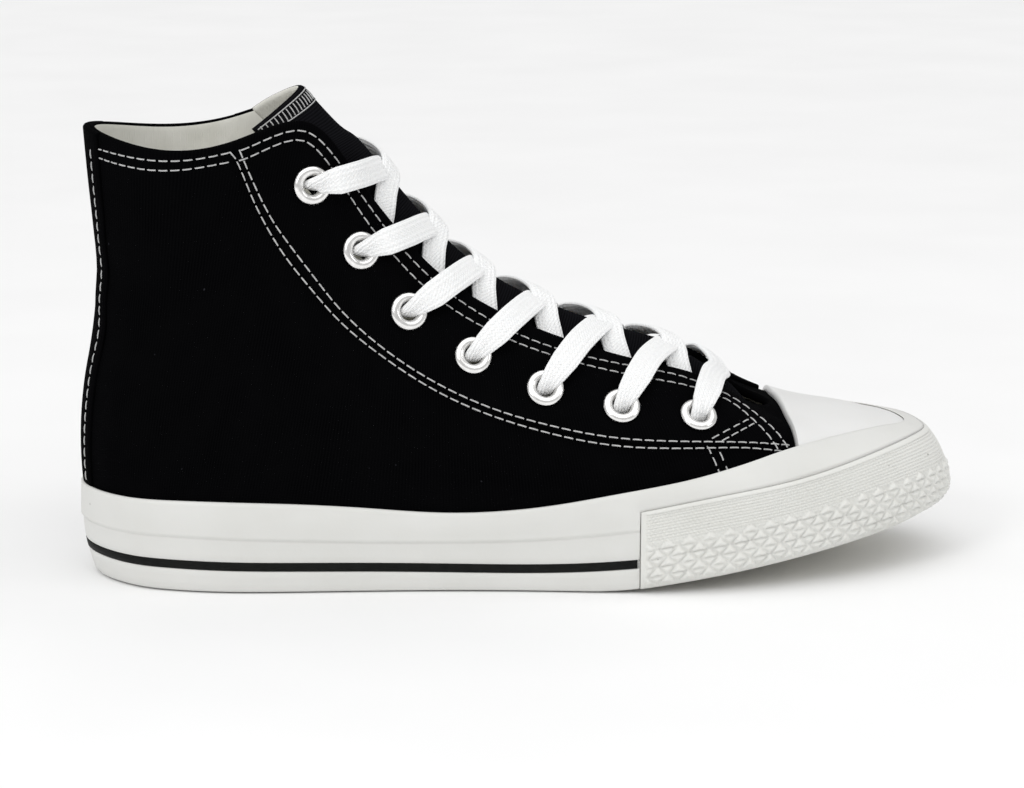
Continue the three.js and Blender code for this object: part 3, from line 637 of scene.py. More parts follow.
# Rolled brass, nickel plated: bright satin metal with fine wear
def nickel_plate():
    finish, tree, shader = new_finish("nickel_plated_brass", {"Metallic": 1.0})
    place = millimetres(tree)
    body = spotted(tree, place, 0.6, 4, 0.3, 0.7, "#E6E5E3", "#FAF9F8")
    fine = add(tree, "ShaderNodeTexNoise", {"Vector": place, "Scale": 1.6, "Detail": 5.0})
    worn = add(tree, "ShaderNodeMapRange", {
        "Value": fine.outputs["Fac"], "From Min": 0.3, "From Max": 0.7, "To Min": 0.16, "To Max": 0.26,
    })
    tree.links.new(worn.outputs["Result"], shader.inputs["Roughness"])
    dress(tree, shader, body, fine.outputs["Fac"], 0.1, 0.01)
    return finish


CANVAS = black_duck()
# The tongue is the same black duck as the upper. Its colours are painted lighter, as painted light on its
# upturned face
TONGUE_CANVAS_PAINTED_LIGHTER = black_duck("black_cotton_duck_tongue_painted_lighter", "#070708", "#0E0E10", "#151518")
LINING = cream_drill()
WALL_RUBBER = white_rubber("white_vulcanised_rubber", "#DDDDDA", "#D6D6D2", 0.5, 0.06, 0.5)
CAP_RUBBER = white_rubber("white_calendered_rubber", "#E6E6E5", "#E1E1DF", 0.38, 0.03, 0.0)
BUMPER_RUBBER = white_rubber("white_moulded_rubber", "#E2E2DE", "#DBDBD6", 0.55, 0.05, 0.7)
TREAD_RUBBER = white_rubber("pale_moulded_tread_rubber", "#DCDAD0", "#D0CDC1", 0.65, 0.08, 0.6)
STRIPE_RUBBER = black_rubber()
LACE_COTTON = braided_cotton()
THREAD = sewing_thread()
NICKEL = nickel_plate()


# Main creases of the canvas: station and level of the middle, half length and half width in millimetres,
# turn from level in degrees, and depth, which is below zero for a ridge
CREASES = [
    (11.6, 0.62, 26, 5, 8, 0.9), (11.9, 0.52, 30, 6, -6, 0.7), (10.7, 0.45, 22, 5, 25, 0.5),
    (4.2, 0.30, 16, 3.5, 62, 0.6), (5.0, 0.28, 18, 4, 70, 0.5), (6.2, 0.35, 20, 5, 55, 0.4),
    (-11.5, 0.60, 26, 5, 6, 0.8), (-11.0, 0.48, 24, 6, -10, 0.6), (-4.4, 0.32, 16, 3.5, 62, 0.6),
    (-5.4, 0.30, 18, 4, 70, 0.5), (9.4, 0.5, 20, 6, 35, 0.4), (-8.4, 0.5, 22, 6, 30, 0.5),
]
# Millimetres to one station and to the whole height, for the creases alone
STATION_LENGTH = 23
LEVEL_LENGTH = 105


def crease_at(s, t):
    """How far the creases move the canvas out at a station and level."""
    signed = (np.asarray(s, float) + HEEL) % RING - HEEL
    move = np.zeros(np.broadcast(signed, t).shape)
    for station, level, length, width, turn, depth in CREASES:
        u = (signed - station) * STATION_LENGTH * np.sign(station)
        v = (t - level) * LEVEL_LENGTH
        angle = math.radians(turn)
        along = (u * math.cos(angle) + v * math.sin(angle)) / length
        across = (v * math.cos(angle) - u * math.sin(angle)) / width
        banks = 0.45 * np.exp(-((across - 1.6) ** 2)) + 0.3 * np.exp(-((across + 1.8) ** 2))
        move += depth * (banks - np.exp(-across ** 2)) * np.exp(-along ** 2)
    return move


def cloth(s, t, out=0.0):
    """A point of the creased canvas, moved out."""
    return upper_at(s, t, out + crease_at(s, np.asarray(t, float)))


def edge_frame(s):
    """The opening's edge, the way out of the wall there, and the way up along it."""
    edge = cloth(s, np.ones_like(s))
    normal = upper_normal(s, np.ones_like(s))
    up = unit(upper_face(s, np.ones_like(s)) - upper_face(s, np.full_like(s, 0.98)))
    return edge, normal, up


def sole_bottom(s):
    """Height of the bottom edge of the sole wall and the bumper."""
    return spring_at(outline_at(s, level_at(s, LOW_IN), 0.0)[..., 0]) + LIP


# Share of the bumper's height that its foot curves in over, how late its top leans in, and how far the
# plain wall stands inside the outline at its ridge
BUMPER_FOOT = 0.2
BUMPER_LEAN = 2.6
WALL_INSET = 0.7


def bumper_face(s, h, depth):
    """The bumper's outer face, h from its bottom edge to its top edge, moved inward by depth."""
    foot = level_at(s, LOW_IN) * np.maximum(0, 1 - h / BUMPER_FOOT) ** 2
    lean = level_at(s, BUMPER_IN) * h ** BUMPER_LEAN
    return outline_at(s, foot + lean + depth, lerp(sole_bottom(s), level_at(s, BUMPER_TOP), h))


def wall_face(s, z, depth=0.0):
    """The plain sole wall below its ridge, at height z."""
    ridge = level_at(s, RIDGE)
    share = np.clip((ridge - z) / (ridge - sole_bottom(s)), 0, 1)
    return outline_at(s, WALL_INSET + (level_at(s, LOW_IN) - WALL_INSET) * share ** 2 + depth, z)


def mean_uv(grid):
    """UV pairs in millimetres over a grid that closes both ways: its mean lengths along columns and rows."""
    grid = np.concatenate([grid, grid[:1]])
    grid = np.concatenate([grid, grid[:, :1]], 1)
    u = arc_lengths(grid)[grid.shape[0] // 3]
    v = arc_lengths(np.swapaxes(grid, 0, 1)).mean(0)
    return np.stack(np.meshgrid(u, v), -1)


# Upper: black duck outside, folded over the rim, and the lining with its thicker collar band inside
# The collar band: levels over which it steps in, its step, and how far the folded rim rises
BAND_LEVELS = (0.915, 0.925)
BAND_STEP = 0.5
RIM_RISE = 0.9
RIM_ANGLES = np.radians([30, 60, 90, 120, 150])
PANEL_OUT = 1.15
ROUND_STATIONS = np.linspace(0, RING, 26 * 15, endpoint=False)
# Levels of the rows of points up the outer face, and down the inner one
OUTER_LEVELS = np.concatenate([np.linspace(0, 0.94, 56), [0.955, 0.97, 0.985, 0.995, 1]])
INNER_LEVELS = np.concatenate([
    [1, 0.985, 0.97, 0.955, 0.94, 0.93, 0.926, 0.92, 0.912], np.linspace(0.9, 0, 36),
])


def upper_grid():
    """The upper's rings of points, up outside, over the rim and down inside, and the last black one."""
    s = ROUND_STATIONS
    rows = [cloth(s, np.full_like(s, t)) for t in OUTER_LEVELS]
    edge, normal, up = edge_frame(s)
    band = WALL + BAND_STEP
    for angle in RIM_ANGLES:
        rows.append(edge - normal * band * (1 - math.cos(angle)) / 2 + up * RIM_RISE * math.sin(angle))
    turned = len(rows) - 1
    for t in INNER_LEVELS:
        step = BAND_STEP * smoothstep(*BAND_LEVELS, t)
        rows.append(cloth(s, np.full_like(s, t), -WALL - step))
    rows[-1] = np.concatenate([rows[-1][:, :2], rows[0][:, 2:]], 1)
    return np.stack(rows), turned


def circle_round(centre, along, side, radius, count):
    """Points of a circle round a centre, in the plane of two unit vectors."""
    angle = np.linspace(0, 2 * math.pi, count, endpoint=False)
    return centre + radius * (np.cos(angle)[:, None] * along + np.sin(angle)[:, None] * side)


# The punch for an eyelet's hole, and how far it reaches in and out from the eyestay's face
HOLE = {"radius": 3.15, "points": 24, "in": 7, "out": 5}


def punch_holes(piece, places):
    """Cuts the eyelets' holes through a piece."""
    cutters = []
    faces = []
    count = HOLE["points"]
    for i, (centre, out, along) in enumerate(places):
        ring = circle_round(centre, along, np.cross(out, along), HOLE["radius"], count)
        cutters += [ring - HOLE["in"] * out, ring + HOLE["out"] * out]
        start = 2 * count * i
        for k in range(count):
            n = (k + 1) % count
            faces.append([start + k, start + n, start + count + n, start + count + k])
    punch = add_piece("hole_punches", np.concatenate(cutters), faces, [])
    closed(punch)
    cut = piece.modifiers.new("holes", "BOOLEAN")
    cut.operation = "DIFFERENCE"
    cut.solver = "EXACT"
    cut.object = punch
    return settle(piece, [punch])


def settle(piece, helpers=()):
    """Turns a piece with modifiers into a plain mesh, and takes its helpers away."""
    bpy.context.view_layer.update()
    plain = bpy.data.meshes.new_from_object(piece.evaluated_get(bpy.context.evaluated_depsgraph_get()))
    piece.modifiers.clear()
    old = piece.data
    piece.data = plain
    plain.name = piece.name
    bpy.data.meshes.remove(old)
    for helper in helpers:
        bpy.data.objects.remove(helper)
    return piece


def eyelet_frames(inner):
    """The eyelets of one side: station, level, centre on the eyestay, way out and way along the throat."""
    s, t = find_on_upper(EYELETS[:, 0], EYELETS[:, 1], inner)
    out = upper_normal(s, t)
    along = unit(upper_face(s + 0.05, t) - upper_face(s - 0.05, t))
    along = unit(along - out * np.sum(along * out, -1, keepdims=True))
    return s, t, cloth(s, t, PANEL_OUT), out, along


EYELET_SIDES = {"outer": eyelet_frames(False), "inner": eyelet_frames(True)}
HOLES = {side: list(zip(found[2], found[3], found[4])) for side, found in EYELET_SIDES.items()}

grid, turned = upper_grid()
upper = grid_piece(
    "upper_canvas_and_lining", grid, [CANVAS, LINING], wrap_rows=True, wrap_columns=True,
    uv=mean_uv(grid), finish_rows=(np.arange(len(grid) + 1) > turned).astype(int),
)
face_outward(upper)
punch_holes(upper, HOLES["outer"] + HOLES["inner"])
hand_in(upper, "canvas", "upper")


# Panels sewn over the upper: a loop round each station's cross-section, from the lower edge up and over
# A panel's back lies a little inside the upper's face. Its lower edge is rounded over a few rows, given as
# shares of the way up and of its thickness, its upper edge too where it is open, and where it folds over
# the rim, the arc is given as shares of its thickness outward and millimetres up
PANEL_SUNK = 0.3
PANEL_SAMPLES = 30
EDGE_HEIGHTS = np.array([0.45, 0.85, 0.98])
LOW_SHARES = [0, 0, 0.006, 0.02]
HIGH_SHARES = [1.008, 1.012, 1.012]
RIM_ARC = [(0.92, 0.45), (0.6, 0.85), (0.0, 1.05), (-0.7, 1.0), (-0.7, -0.2)]


def panel_loop(s, low, high, out, drop, over_rim):
    """One ring of points for each station: up the panel's face, over its top edge, and down its back."""
    shares = np.concatenate([LOW_SHARES, np.linspace(0.045, 1, PANEL_SAMPLES)])
    heights = np.concatenate([[-PANEL_SUNK], EDGE_HEIGHTS * out, np.full(PANEL_SAMPLES, out)])
    if not over_rim:
        shares = np.concatenate([shares, HIGH_SHARES])
        heights = np.concatenate([heights, EDGE_HEIGHTS[1::-1] * out, [-PANEL_SUNK]])
    heights = np.where(heights > 0, heights * drop[:, None], heights)
    levels = low[:, None] + (high - low)[:, None] * shares
    rings = [cloth(s[:, None], np.minimum(levels, 1), heights)]
    if over_rim:
        edge, normal, up = edge_frame(s)
        for side, rise in RIM_ARC:
            rings.append((edge + normal * side * out + up * rise)[:, None])
    back = low[:, None] + (high - low)[:, None] * np.linspace(0.97, 0.02, 9)
    rings.append(cloth(s[:, None], back, np.full(back.shape, -PANEL_SUNK)))
    return np.concatenate(rings, 1)


def panel_piece(name, s, low, high, out, finish, over_rim):
    """A closed panel, thinner at both ends of its stations."""
    drop = np.ones_like(s)
    drop[[0, -1]] = 0.45
    drop[[1, -2]] = 0.9
    grid = panel_loop(s, low, high, out, drop, over_rim)
    piece = grid_piece(name, grid, [finish], wrap_columns=True, uv=panel_uv(grid))
    return closed(piece)


def panel_uv(grid):
    """Upright threads: u runs with the stations, v up the loop."""
    closed = np.concatenate([grid, grid[:, :1]], 1)
    u = arc_lengths(np.swapaxes(closed, 0, 1))[closed.shape[1] // 3]
    v = arc_lengths(closed).mean(0)
    return np.stack(np.broadcast_arrays(u[:, None], v[None]), -1)


def with_soft_ends(stations, soft=0.02):
    """The stations with one more just inside each end, for a rounded edge."""
    ends = [stations[0] + soft, stations[-1] - soft]
    return np.concatenate([stations[:1], ends[:1], stations[1:-1], ends[1:], stations[-1:]])


def eyestay_low(s):
    """Level of the eyestay's lower line: the seam's height, but no lower than the toe cap allows."""
    seam = level_where(s, lambda point: point[..., 2] - seam_height(point[..., 0]), 0.1, 0.985)
    cap = level_where(s, lambda point: CAP_EDGE_X - 2.5 - point[..., 0], 0.02, 0.985)
    return np.minimum(np.maximum(seam, cap), 0.985)


for side, sign in (("outer", 1), ("inner", -1)):
    s = with_soft_ends(np.linspace(EYESTAY_END, EYESTAY_START, 150)) * sign
    piece = panel_piece(f"eyestay_canvas_{side}", s, eyestay_low(s), np.ones_like(s), PANEL_OUT, CANVAS, True)
    punch_holes(piece, HOLES[side])
    hand_in(piece, "canvas", f"eyestay_{side}")

s = with_soft_ends(np.linspace(HEEL - HEEL_STAY_HALF, HEEL + HEEL_STAY_HALF, 26), 0.015)
heel_strip = panel_piece(
    "heel_strip_canvas", s, level_at_height(s, level_at(s, TOP) - 1), np.ones_like(s), 0.95, CANVAS, True,
)
hand_in(heel_strip, "canvas", "heel_stay")

s = with_soft_ends(np.linspace(-3, 3, 110))
low = level_at_height(s, level_at(s, TOP) - 3)
high = level_where(s, lambda point: CAP_EDGE_X - point[..., 0], low + 0.02, 1)
toe_cap = panel_piece("toe_cap_rubber", s, low, high, 2.0, CAP_RUBBER, False)
hand_in(toe_cap, "rubber", "toe_cap")


# Sole wall: an upper band that flares out to a ridge, and the flat strip with the pinstripe under it
GROOVE_DEPTH = 0.7
GROOVE_CLEAR = 0.12
BAND_SHARES = (0.15, 0.3, 0.45, 0.6, 0.75, 0.9)
BAND_BULGE = 0.35


def wall_rows(s, covered):
    """The wall's rows of points: under its lip, up outside, over its top edge and down against the upper.

    Where the bumper covers it, the wall keeps behind the bumper's face.
    """
    low_in = level_at(s, LOW_IN)
    ridge = level_at(s, RIDGE)
    stripe = level_at(s, STRIPE)
    bottom = sole_bottom(s)
    under = outline_at(s, low_in + LIP_WIDTH, bottom)
    roof = outline_at(s, low_in + LIP_WIDTH, spring_at(under[:, 0]) + OUTSOLE + GAP)
    groove = STRIPE_HEIGHT / 2 + GROOVE_CLEAR
    plain = [
        outline_at(s, low_in + 0.9, bottom), outline_at(s, low_in + 0.25, bottom + 0.25),
        wall_face(s, bottom + 0.9),
        *[wall_face(s, lerp(bottom + 0.9, stripe - groove - 0.2, f)) for f in (0.33, 0.66, 1)],
        wall_face(s, stripe - groove, 0.12), wall_face(s, stripe - groove, GROOVE_DEPTH),
        wall_face(s, stripe + groove, GROOVE_DEPTH), wall_face(s, stripe + groove, 0.12),
        *[wall_face(s, lerp(stripe + groove + 0.2, ridge - 1.4, f)) for f in (0, 0.33, 0.66, 1)],
        wall_face(s, ridge - 0.95, 0.08), outline_at(s, 0.3, ridge - 0.55), outline_at(s, 0.04, ridge - 0.15),
        outline_at(s, 0.05, ridge + 0.35),
    ]
    ledge = level_at(s, BUMPER_TOP)
    hidden = [bumper_face(s, np.full_like(s, h), BUMPER + 0.1) for h in np.linspace(0, 0.97, 15)]
    hidden += [
        outline_at(s, level_at(s, BUMPER_IN) + BUMPER, ledge - 0.2),
        outline_at(s, level_at(s, BUMPER_IN) + 1.2, ledge + 0.02),
        outline_at(s, level_at(s, BUMPER_IN) + 0.7, ledge + 0.12),
    ]
    side = [np.where(covered[:, None], h, p) for h, p in zip(hidden, plain)]
    top = level_at_height(s, level_at(s, TOP))
    row = np.minimum(s, RING - s)
    clear = 0.15 + 1.95 * (1 - smoothstep(3.0, 3.5, row))
    rim = np.where(row < 3.2, 0.7, RIM) * (0.55 + 0.45 * smoothstep(2.6, 4.2, row))
    crown = upper_at(s, top, clear + rim)
    bulge = unit(side[-1] * [0, 1, 0] + 1e-9)
    band = [lerp(side[-1], crown, f) + bulge * BAND_BULGE * math.sin(math.pi * f) for f in BAND_SHARES]
    lip = [crown, upper_at(s, top + 0.002, clear + 0.6 * rim), upper_at(s, top, clear + 0.1)]
    inside = [upper_at(s, top * f, clear) for f in (0.9, 0.7, 0.45, 0.2)]
    foot = upper_at(s, np.zeros_like(s), clear)
    foot[:, 2] = floor_at(foot[:, 0])
    return [roof, under, *side, *band, *lip, *inside, foot]


def merge_doubles(piece):
    """Merges doubled points and drops faces with no area, where a piece closes on a line."""
    work = bmesh.new()
    work.from_mesh(piece.data)
    bmesh.ops.remove_doubles(work, verts=work.verts, dist=1e-6)
    bmesh.ops.dissolve_degenerate(work, edges=work.edges, dist=1e-7)
    work.to_mesh(piece.data)
    work.free()
    piece.data.polygons.foreach_set("use_smooth", np.full(len(piece.data.polygons), True))
    return piece


at_bumper_end = [BUMPER_END - 0.004, BUMPER_END + 0.004]
half_round = np.sort(np.concatenate([np.linspace(0, HEEL, 16 * HEEL + 1), at_bumper_end]))
wall_stations = np.concatenate([half_round, RING - half_round[1:-1][::-1]])
rows = wall_rows(wall_stations, np.minimum(wall_stations, RING - wall_stations) < BUMPER_END)
sole_wall = grid_piece("sole_wall_rubber", np.stack(rows), [WALL_RUBBER], wrap_columns=True)
hand_in(closed(sole_wall), "rubber", "sole_wall")


# Pinstripe: a black strip laid into its groove, as shares of its height and depths into the wall
s = np.linspace(BUMPER_END + 0.03, RING - BUMPER_END - 0.03, 330)
z = level_at(s, STRIPE)
STRIPE_PROFILE = [
    (-0.5, 0.66), (-0.5, 0.05), (-0.46, -0.05), (0, -0.08), (0.46, -0.05), (0.5, 0.05), (0.5, 0.66),
]
strip = [wall_face(s, z + STRIPE_HEIGHT * share, depth) for share, depth in STRIPE_PROFILE]
pinstripe = grid_piece("pinstripe_rubber", np.stack(strip), [STRIPE_RUBBER], wrap_rows=True)
hand_in(closed(pinstripe), "stripe", "pinstripe")


# Toe bumper: rows of small ticks over slit diamonds, moulded in relief. Sizes are in millimetres, starts are
# below the bumper's top edge, and BUMPER_SKIN is how far its ground lies inside its outer face
DIAMOND = {"along": 6.2, "up": 5.3, "start": 9.4, "height": 0.95}
TICKS = {"row": 0.9, "along": 1.3, "start": 1.1, "height": 0.4}
BUMPER_SKIN = 0.35


def bumper_relief(along, down):
    """Relief of the bumper, from the distance along it and the distance down from its top edge."""
    a = along / DIAMOND["along"]
    b = (down - DIAMOND["start"]) / DIAMOND["up"]
    p, q = a + b, a - b
    cell = (np.round(p) - np.round(q)) / 2
    lp, lq = p - np.round(p), q - np.round(q)
    inside = 0.5 - np.maximum(np.abs(lp), np.abs(lq))
    across, middle = lp + lq, lp - lq
    slit = np.clip(1 - np.abs(middle) / (0.02 + 0.24 * (1 - np.abs(across))), 0, 1)
    diamonds = DIAMOND["height"] * (np.clip(inside / 0.2, 0, 1) - 0.95 * slit * np.clip(inside / 0.08, 0, 1))
    row = (down - TICKS["start"]) / TICKS["row"]
    column = along / TICKS["along"] + 0.5 * np.floor(row)
    bars = np.clip(1.6 * np.sin(math.pi * (row % 1)) - 0.35, 0, 1)
    ticks = TICKS["height"] * bars * (0.2 + 0.8 * np.clip(1.5 * np.cos(2 * math.pi * column) + 0.7, 0, 1))
    relief = np.where((cell > 0.4) & (down > DIAMOND["start"]), diamonds, ticks)
    return np.where(down < TICKS["start"], TICKS["height"] * smoothstep(0, 0.5, down), relief)


def bumper_grid():
    """Rows of points over the bumper, with its relief: up its face, in at its top and down its back."""
    end = BUMPER_END - 0.008
    coarse = np.linspace(-end, end, 2000)
    run = arc_lengths(bumper_face(coarse, np.full_like(coarse, 0.6), 0.0))
    along = np.linspace(0, run[-1], 760)
    s = np.interp(along, run, coarse)
    along = along - run[-1] / 2
    h = np.concatenate([
        [0.0, 0.02, 0.05], np.linspace(0.08, 0.60, 36), np.linspace(0.607, 0.965, 44), [0.98, 0.99, 1.0],
    ])
    height = (level_at(s, BUMPER_TOP) - bumper_face(s, np.zeros_like(s), 0.0)[:, 2])[None]
    down = (1 - h)[:, None] * height
    near_end = smoothstep(1.4, 2.2, run[-1] / 2 - np.abs(along))[None]
    shown = (smoothstep(0.01, 0.05, h) * (1 - smoothstep(0.975, 1.0, h)))[:, None]
    relief = bumper_relief(along[None], down) * near_end * shown
    outer = bumper_face(s[None], h[:, None], BUMPER_SKIN - relief)
    cap = [bumper_face(s, np.ones_like(s), depth) for depth in (0.6, 1.2, 1.8)]
    inner_shares = (0.985, 0.8, 0.6, 0.4, 0.2, 0.1, 0.0)
    inner = [bumper_face(s, np.full_like(s, share), BUMPER) for share in inner_shares]
    return np.concatenate([outer, np.stack(cap), np.stack(inner)])


bumper = grid_piece("toe_bumper_rubber", bumper_grid(), [BUMPER_RUBBER], wrap_rows=True)
hand_in(closed(bumper), "rubber", "toe_bumper")


# Outsole with a shallow diamond tread, and the insole: both close on the line down their middle
def across_the_shoe(ring, shares):
    """Rows of points from a ring inward to its middle line."""
    mirror = np.concatenate([ring[:1], ring[:0:-1]])
    middle = (ring + mirror) / 2
    return [lerp(ring, middle, share) for share in shares]


TREAD = {"pitch": 7.0, "groove": 0.9, "depth": 0.9}
tread_stations = np.linspace(0, RING, 420, endpoint=False)
edge = outline_at(tread_stations, level_at(tread_stations, LOW_IN) + LIP_WIDTH + GAP, 0.0)
spring = spring_at(edge[:, 0])


def at_height(ring, height):
    """A ring of points with its heights set."""
    return np.concatenate([ring[:, :2], height[:, None]], 1)


def tread_row(ring, share):
    """A row of the tread, lifted where a groove crosses it."""
    a = (ring[:, 0] + ring[:, 1]) / TREAD["pitch"]
    b = (ring[:, 0] - ring[:, 1]) / TREAD["pitch"]
    nearest = np.minimum(np.abs(a - np.round(a)), np.abs(b - np.round(b))) * TREAD["pitch"]
    groove = TREAD["depth"] * (1 - smoothstep(TREAD["groove"] * 0.5, TREAD["groove"], nearest))
    return at_height(ring, spring_at(ring[:, 0]) + groove * smoothstep(0.06, 0.12, share))


shares = np.linspace(0, 1, 56)
bottom = [tread_row(row, share) for row, share in zip(across_the_shoe(edge, shares), shares)]
top = across_the_shoe(at_height(edge, spring + OUTSOLE), np.linspace(0, 1, 4))
side = [at_height(edge, spring + OUTSOLE / 2)]
rows = np.stack(bottom[::-1] + side + top)
outsole = merge_doubles(grid_piece("outsole_rubber", rows, [TREAD_RUBBER], wrap_columns=True))
face_outward(outsole)
hand_in(outsole, "rubber", "outsole")

around = np.linspace(0, RING, 260, endpoint=False)


def insole_ring(height):
    """The insole's outline, fitted inside the upper at a height over the foot bed."""
    z = floor_at(upper_face(around, np.zeros_like(around))[:, 0]) + GAP + height
    ring = upper_at(around, level_at_height(around, z), -WALL - GAP - 0.1)
    return at_height(ring, floor_at(ring[:, 0]) + GAP + height)


low_ring, high_ring = insole_ring(0.0), insole_ring(INSOLE)
middle = np.linspace(0, 1, 40)
top = across_the_shoe(high_ring, middle)
top = [at_height(row, row[:, 2] - 0.5 * (1 - smoothstep(0, 0.05, share))) for row, share in zip(top, middle)]
rows = np.stack(across_the_shoe(low_ring, middle[::-8]) + [lerp(low_ring, high_ring, 0.5)] + top)
insole = merge_doubles(grid_piece("insole_cloth", rows, [LINING], wrap_columns=True))
face_outward(insole)
hand_in(insole, "lining", "insole")


# Tongue: canvas outside, lining beneath, its free end whipped over with thread. Clearances are below the
# upper's wall, and its roots are levels under the vamp with the share of the spread there
TONGUE_UNDER = {"vamp": 1.6, "side": 1.7, "edge": 2.8}
TONGUE_ROOTS = ((0.8, 0.9), (0.9, 1))


def tongue_keys():
    """Points of the tongue's outer face: two rows under the vamp, one for each station, and its free end."""
    spreads = np.array([1, 0.5, 0, -0.5, -1])
    vamp = -WALL - TONGUE_UNDER["vamp"]
    rows = [upper_at(spreads * spread, np.full(5, t), vamp) for t, spread in TONGUE_ROOTS]
    for s, rise, reach in TONGUE_ROWS:
        both = np.array([s, -s])
        under = upper_at(both, np.full(2, reach), -WALL - TONGUE_UNDER["side"])
        edge = upper_at(both, np.full(2, 0.99), -WALL - TONGUE_UNDER["edge"])
        lift = upper_normal(both, np.ones(2)).sum(0)
        lift[1] = 0
        crown = upper_face(both, np.ones(2)).mean(0) + unit(lift) * rise
        rows.append(np.stack([under[0], edge[0], crown, edge[1], under[1]]))
    return np.concatenate([np.stack(rows), TONGUE_TOP])


TONGUE_CONTROL = surface_control(tongue_keys(), False)
TONGUE_END = len(TONGUE_CONTROL) - 1
TONGUE_SIDE = TONGUE_CONTROL.shape[1] - 1
TONGUE_ALONG, TONGUE_ACROSS = 150, 44


def tongue_face(u, v):
    return surface_at(TONGUE_CONTROL, u, v, False)


def tongue_normal(u, v):
    along = tongue_face(u + 0.02, v) - tongue_face(u - 0.02, v)
    return unit(np.cross(tongue_face(u, v + 0.02) - tongue_face(u, v - 0.02), along))


def tongue_at(u, v, out):
    return tongue_face(u, v) + tongue_normal(u, v) * np.asarray(out, float)[..., None]


def tongue_row(s):
    """Place along the tongue at a station of the throat."""
    return len(TONGUE_ROOTS) + np.interp(s, TONGUE_ROWS[:, 0], np.arange(len(TONGUE_ROWS)))


def tongue_grid():
    """Rings of points round the tongue's cross-section, rounded off at the free end."""
    u = np.linspace(0, TONGUE_END, TONGUE_ALONG)[:, None]
    v = np.linspace(0, TONGUE_SIDE, TONGUE_ACROSS)[None]
    face = tongue_at(u, v, np.zeros((TONGUE_ALONG, TONGUE_ACROSS)))
    back = tongue_at(u, v[:, ::-1], np.full((TONGUE_ALONG, TONGUE_ACROSS), -TONGUE))
    half = np.full((TONGUE_ALONG, 1), -TONGUE / 2)
    first, last = (tongue_at(u, np.full_like(half, side), half) for side in (-0.03, TONGUE_SIDE + 0.03))
    grid = np.concatenate([face, last, back, first], 1)
    end = grid[-1]
    along = unit(end - grid[-3])
    thin = (end + np.roll(end[::-1], -1, 0)) / 2
    tip = [lerp(end, thin, share) + along * rise for rise, share in ((0.5, 0.25), (0.85, 0.6), (1.0, 0.9))]
    return np.concatenate([grid, np.stack(tip)])


grid = tongue_grid()
tongue = grid_piece("tongue_canvas", grid, [TONGUE_CANVAS_PAINTED_LIGHTER, LINING], wrap_columns=True, uv=panel_uv(grid))
column = np.array([polygon.vertices[0] % grid.shape[1] for polygon in tongue.data.polygons])
lined = (column > TONGUE_ACROSS) & (column < 2 * TONGUE_ACROSS + 1)
tongue.data.polygons.foreach_set("material_index", lined.astype(np.int32))
hand_in(closed(tongue), "canvas", "tongue")


# Eyelets: a rolled rim outside and a washer on the lining, as radius and height off the eyestay's face
EYELET_PROFILE = np.array([
    [2.65, -3.4], [2.65, 0.1], [2.8, 0.65], [3.15, 1.1], [3.7, 1.42], [4.35, 1.5], [5.0, 1.3], [5.5, 0.85],
    [5.72, 0.3], [5.6, 0.02], [3.25, 0.0], [3.25, -3.35], [5.3, -3.4], [5.4, -3.7], [5.0, -3.95], [3.0, -3.9],
])
for side, places in HOLES.items():
    for i, (centre, out, along) in enumerate(places):
        circle = circle_round(0.0, along, np.cross(out, along), 1.0, 48)
        grid = centre + EYELET_PROFILE[:, None, :1] * circle[None] + EYELET_PROFILE[:, None, 1:] * out
        ring = grid_piece(f"eyelet_ring_{side}_{i + 1}", grid, [NICKEL], wrap_rows=True, wrap_columns=True)
        face_outward(ring)
        hand_in(ring, "eyelet", f"eyelet_{side}_{i + 1}")


# The lace: one flat braid from the top outer eyelet down, across at the lowest pair, and back up. It is
# drawn 8 mm wide, to stand for its fluff, and 7.4 mm in the source. FLAT, GATHERED and IN_HOLE are widths
# and heights of its section
LACE = {"width": 8.0, "height": 1.5, "ribs": 5.5}
FLAT = (LACE["width"], LACE["height"])
GATHERED = (6.8, 1.9)
IN_HOLE = (5.2, 2.3)
RIM_TOP = PANEL_OUT + EYELET_PROFILE[:, 1].max()


def eyelet_place(side, i):
    """Centre on the upper's face, way out, way up to the flap's edge, station and level of an eyelet."""
    s, t, _, out, _ = (part[i] for part in EYELET_SIDES[side])
    s, t = np.array([s]), np.array([t])
    up = upper_face(s, np.minimum(t + 0.02, 1)) - upper_face(s, t - 0.02)
    up = unit(up[0] - out * (up[0] @ out))
    return upper_face(s, t)[0], out, up, s[0], t[0]


def on_flap(s, t, height):
    """A place over the upper, and the way out there."""
    s, t = np.array([s]), np.array([t])
    return upper_at(s, t, np.array([height]))[0], upper_normal(s, t)[0]


def on_tongue(s, v, height):
    """A place over the tongue, and the way out there."""
    u = tongue_row(s)
    return tongue_at(u, np.array(v), np.array(height)), tongue_normal(u, np.array(v))


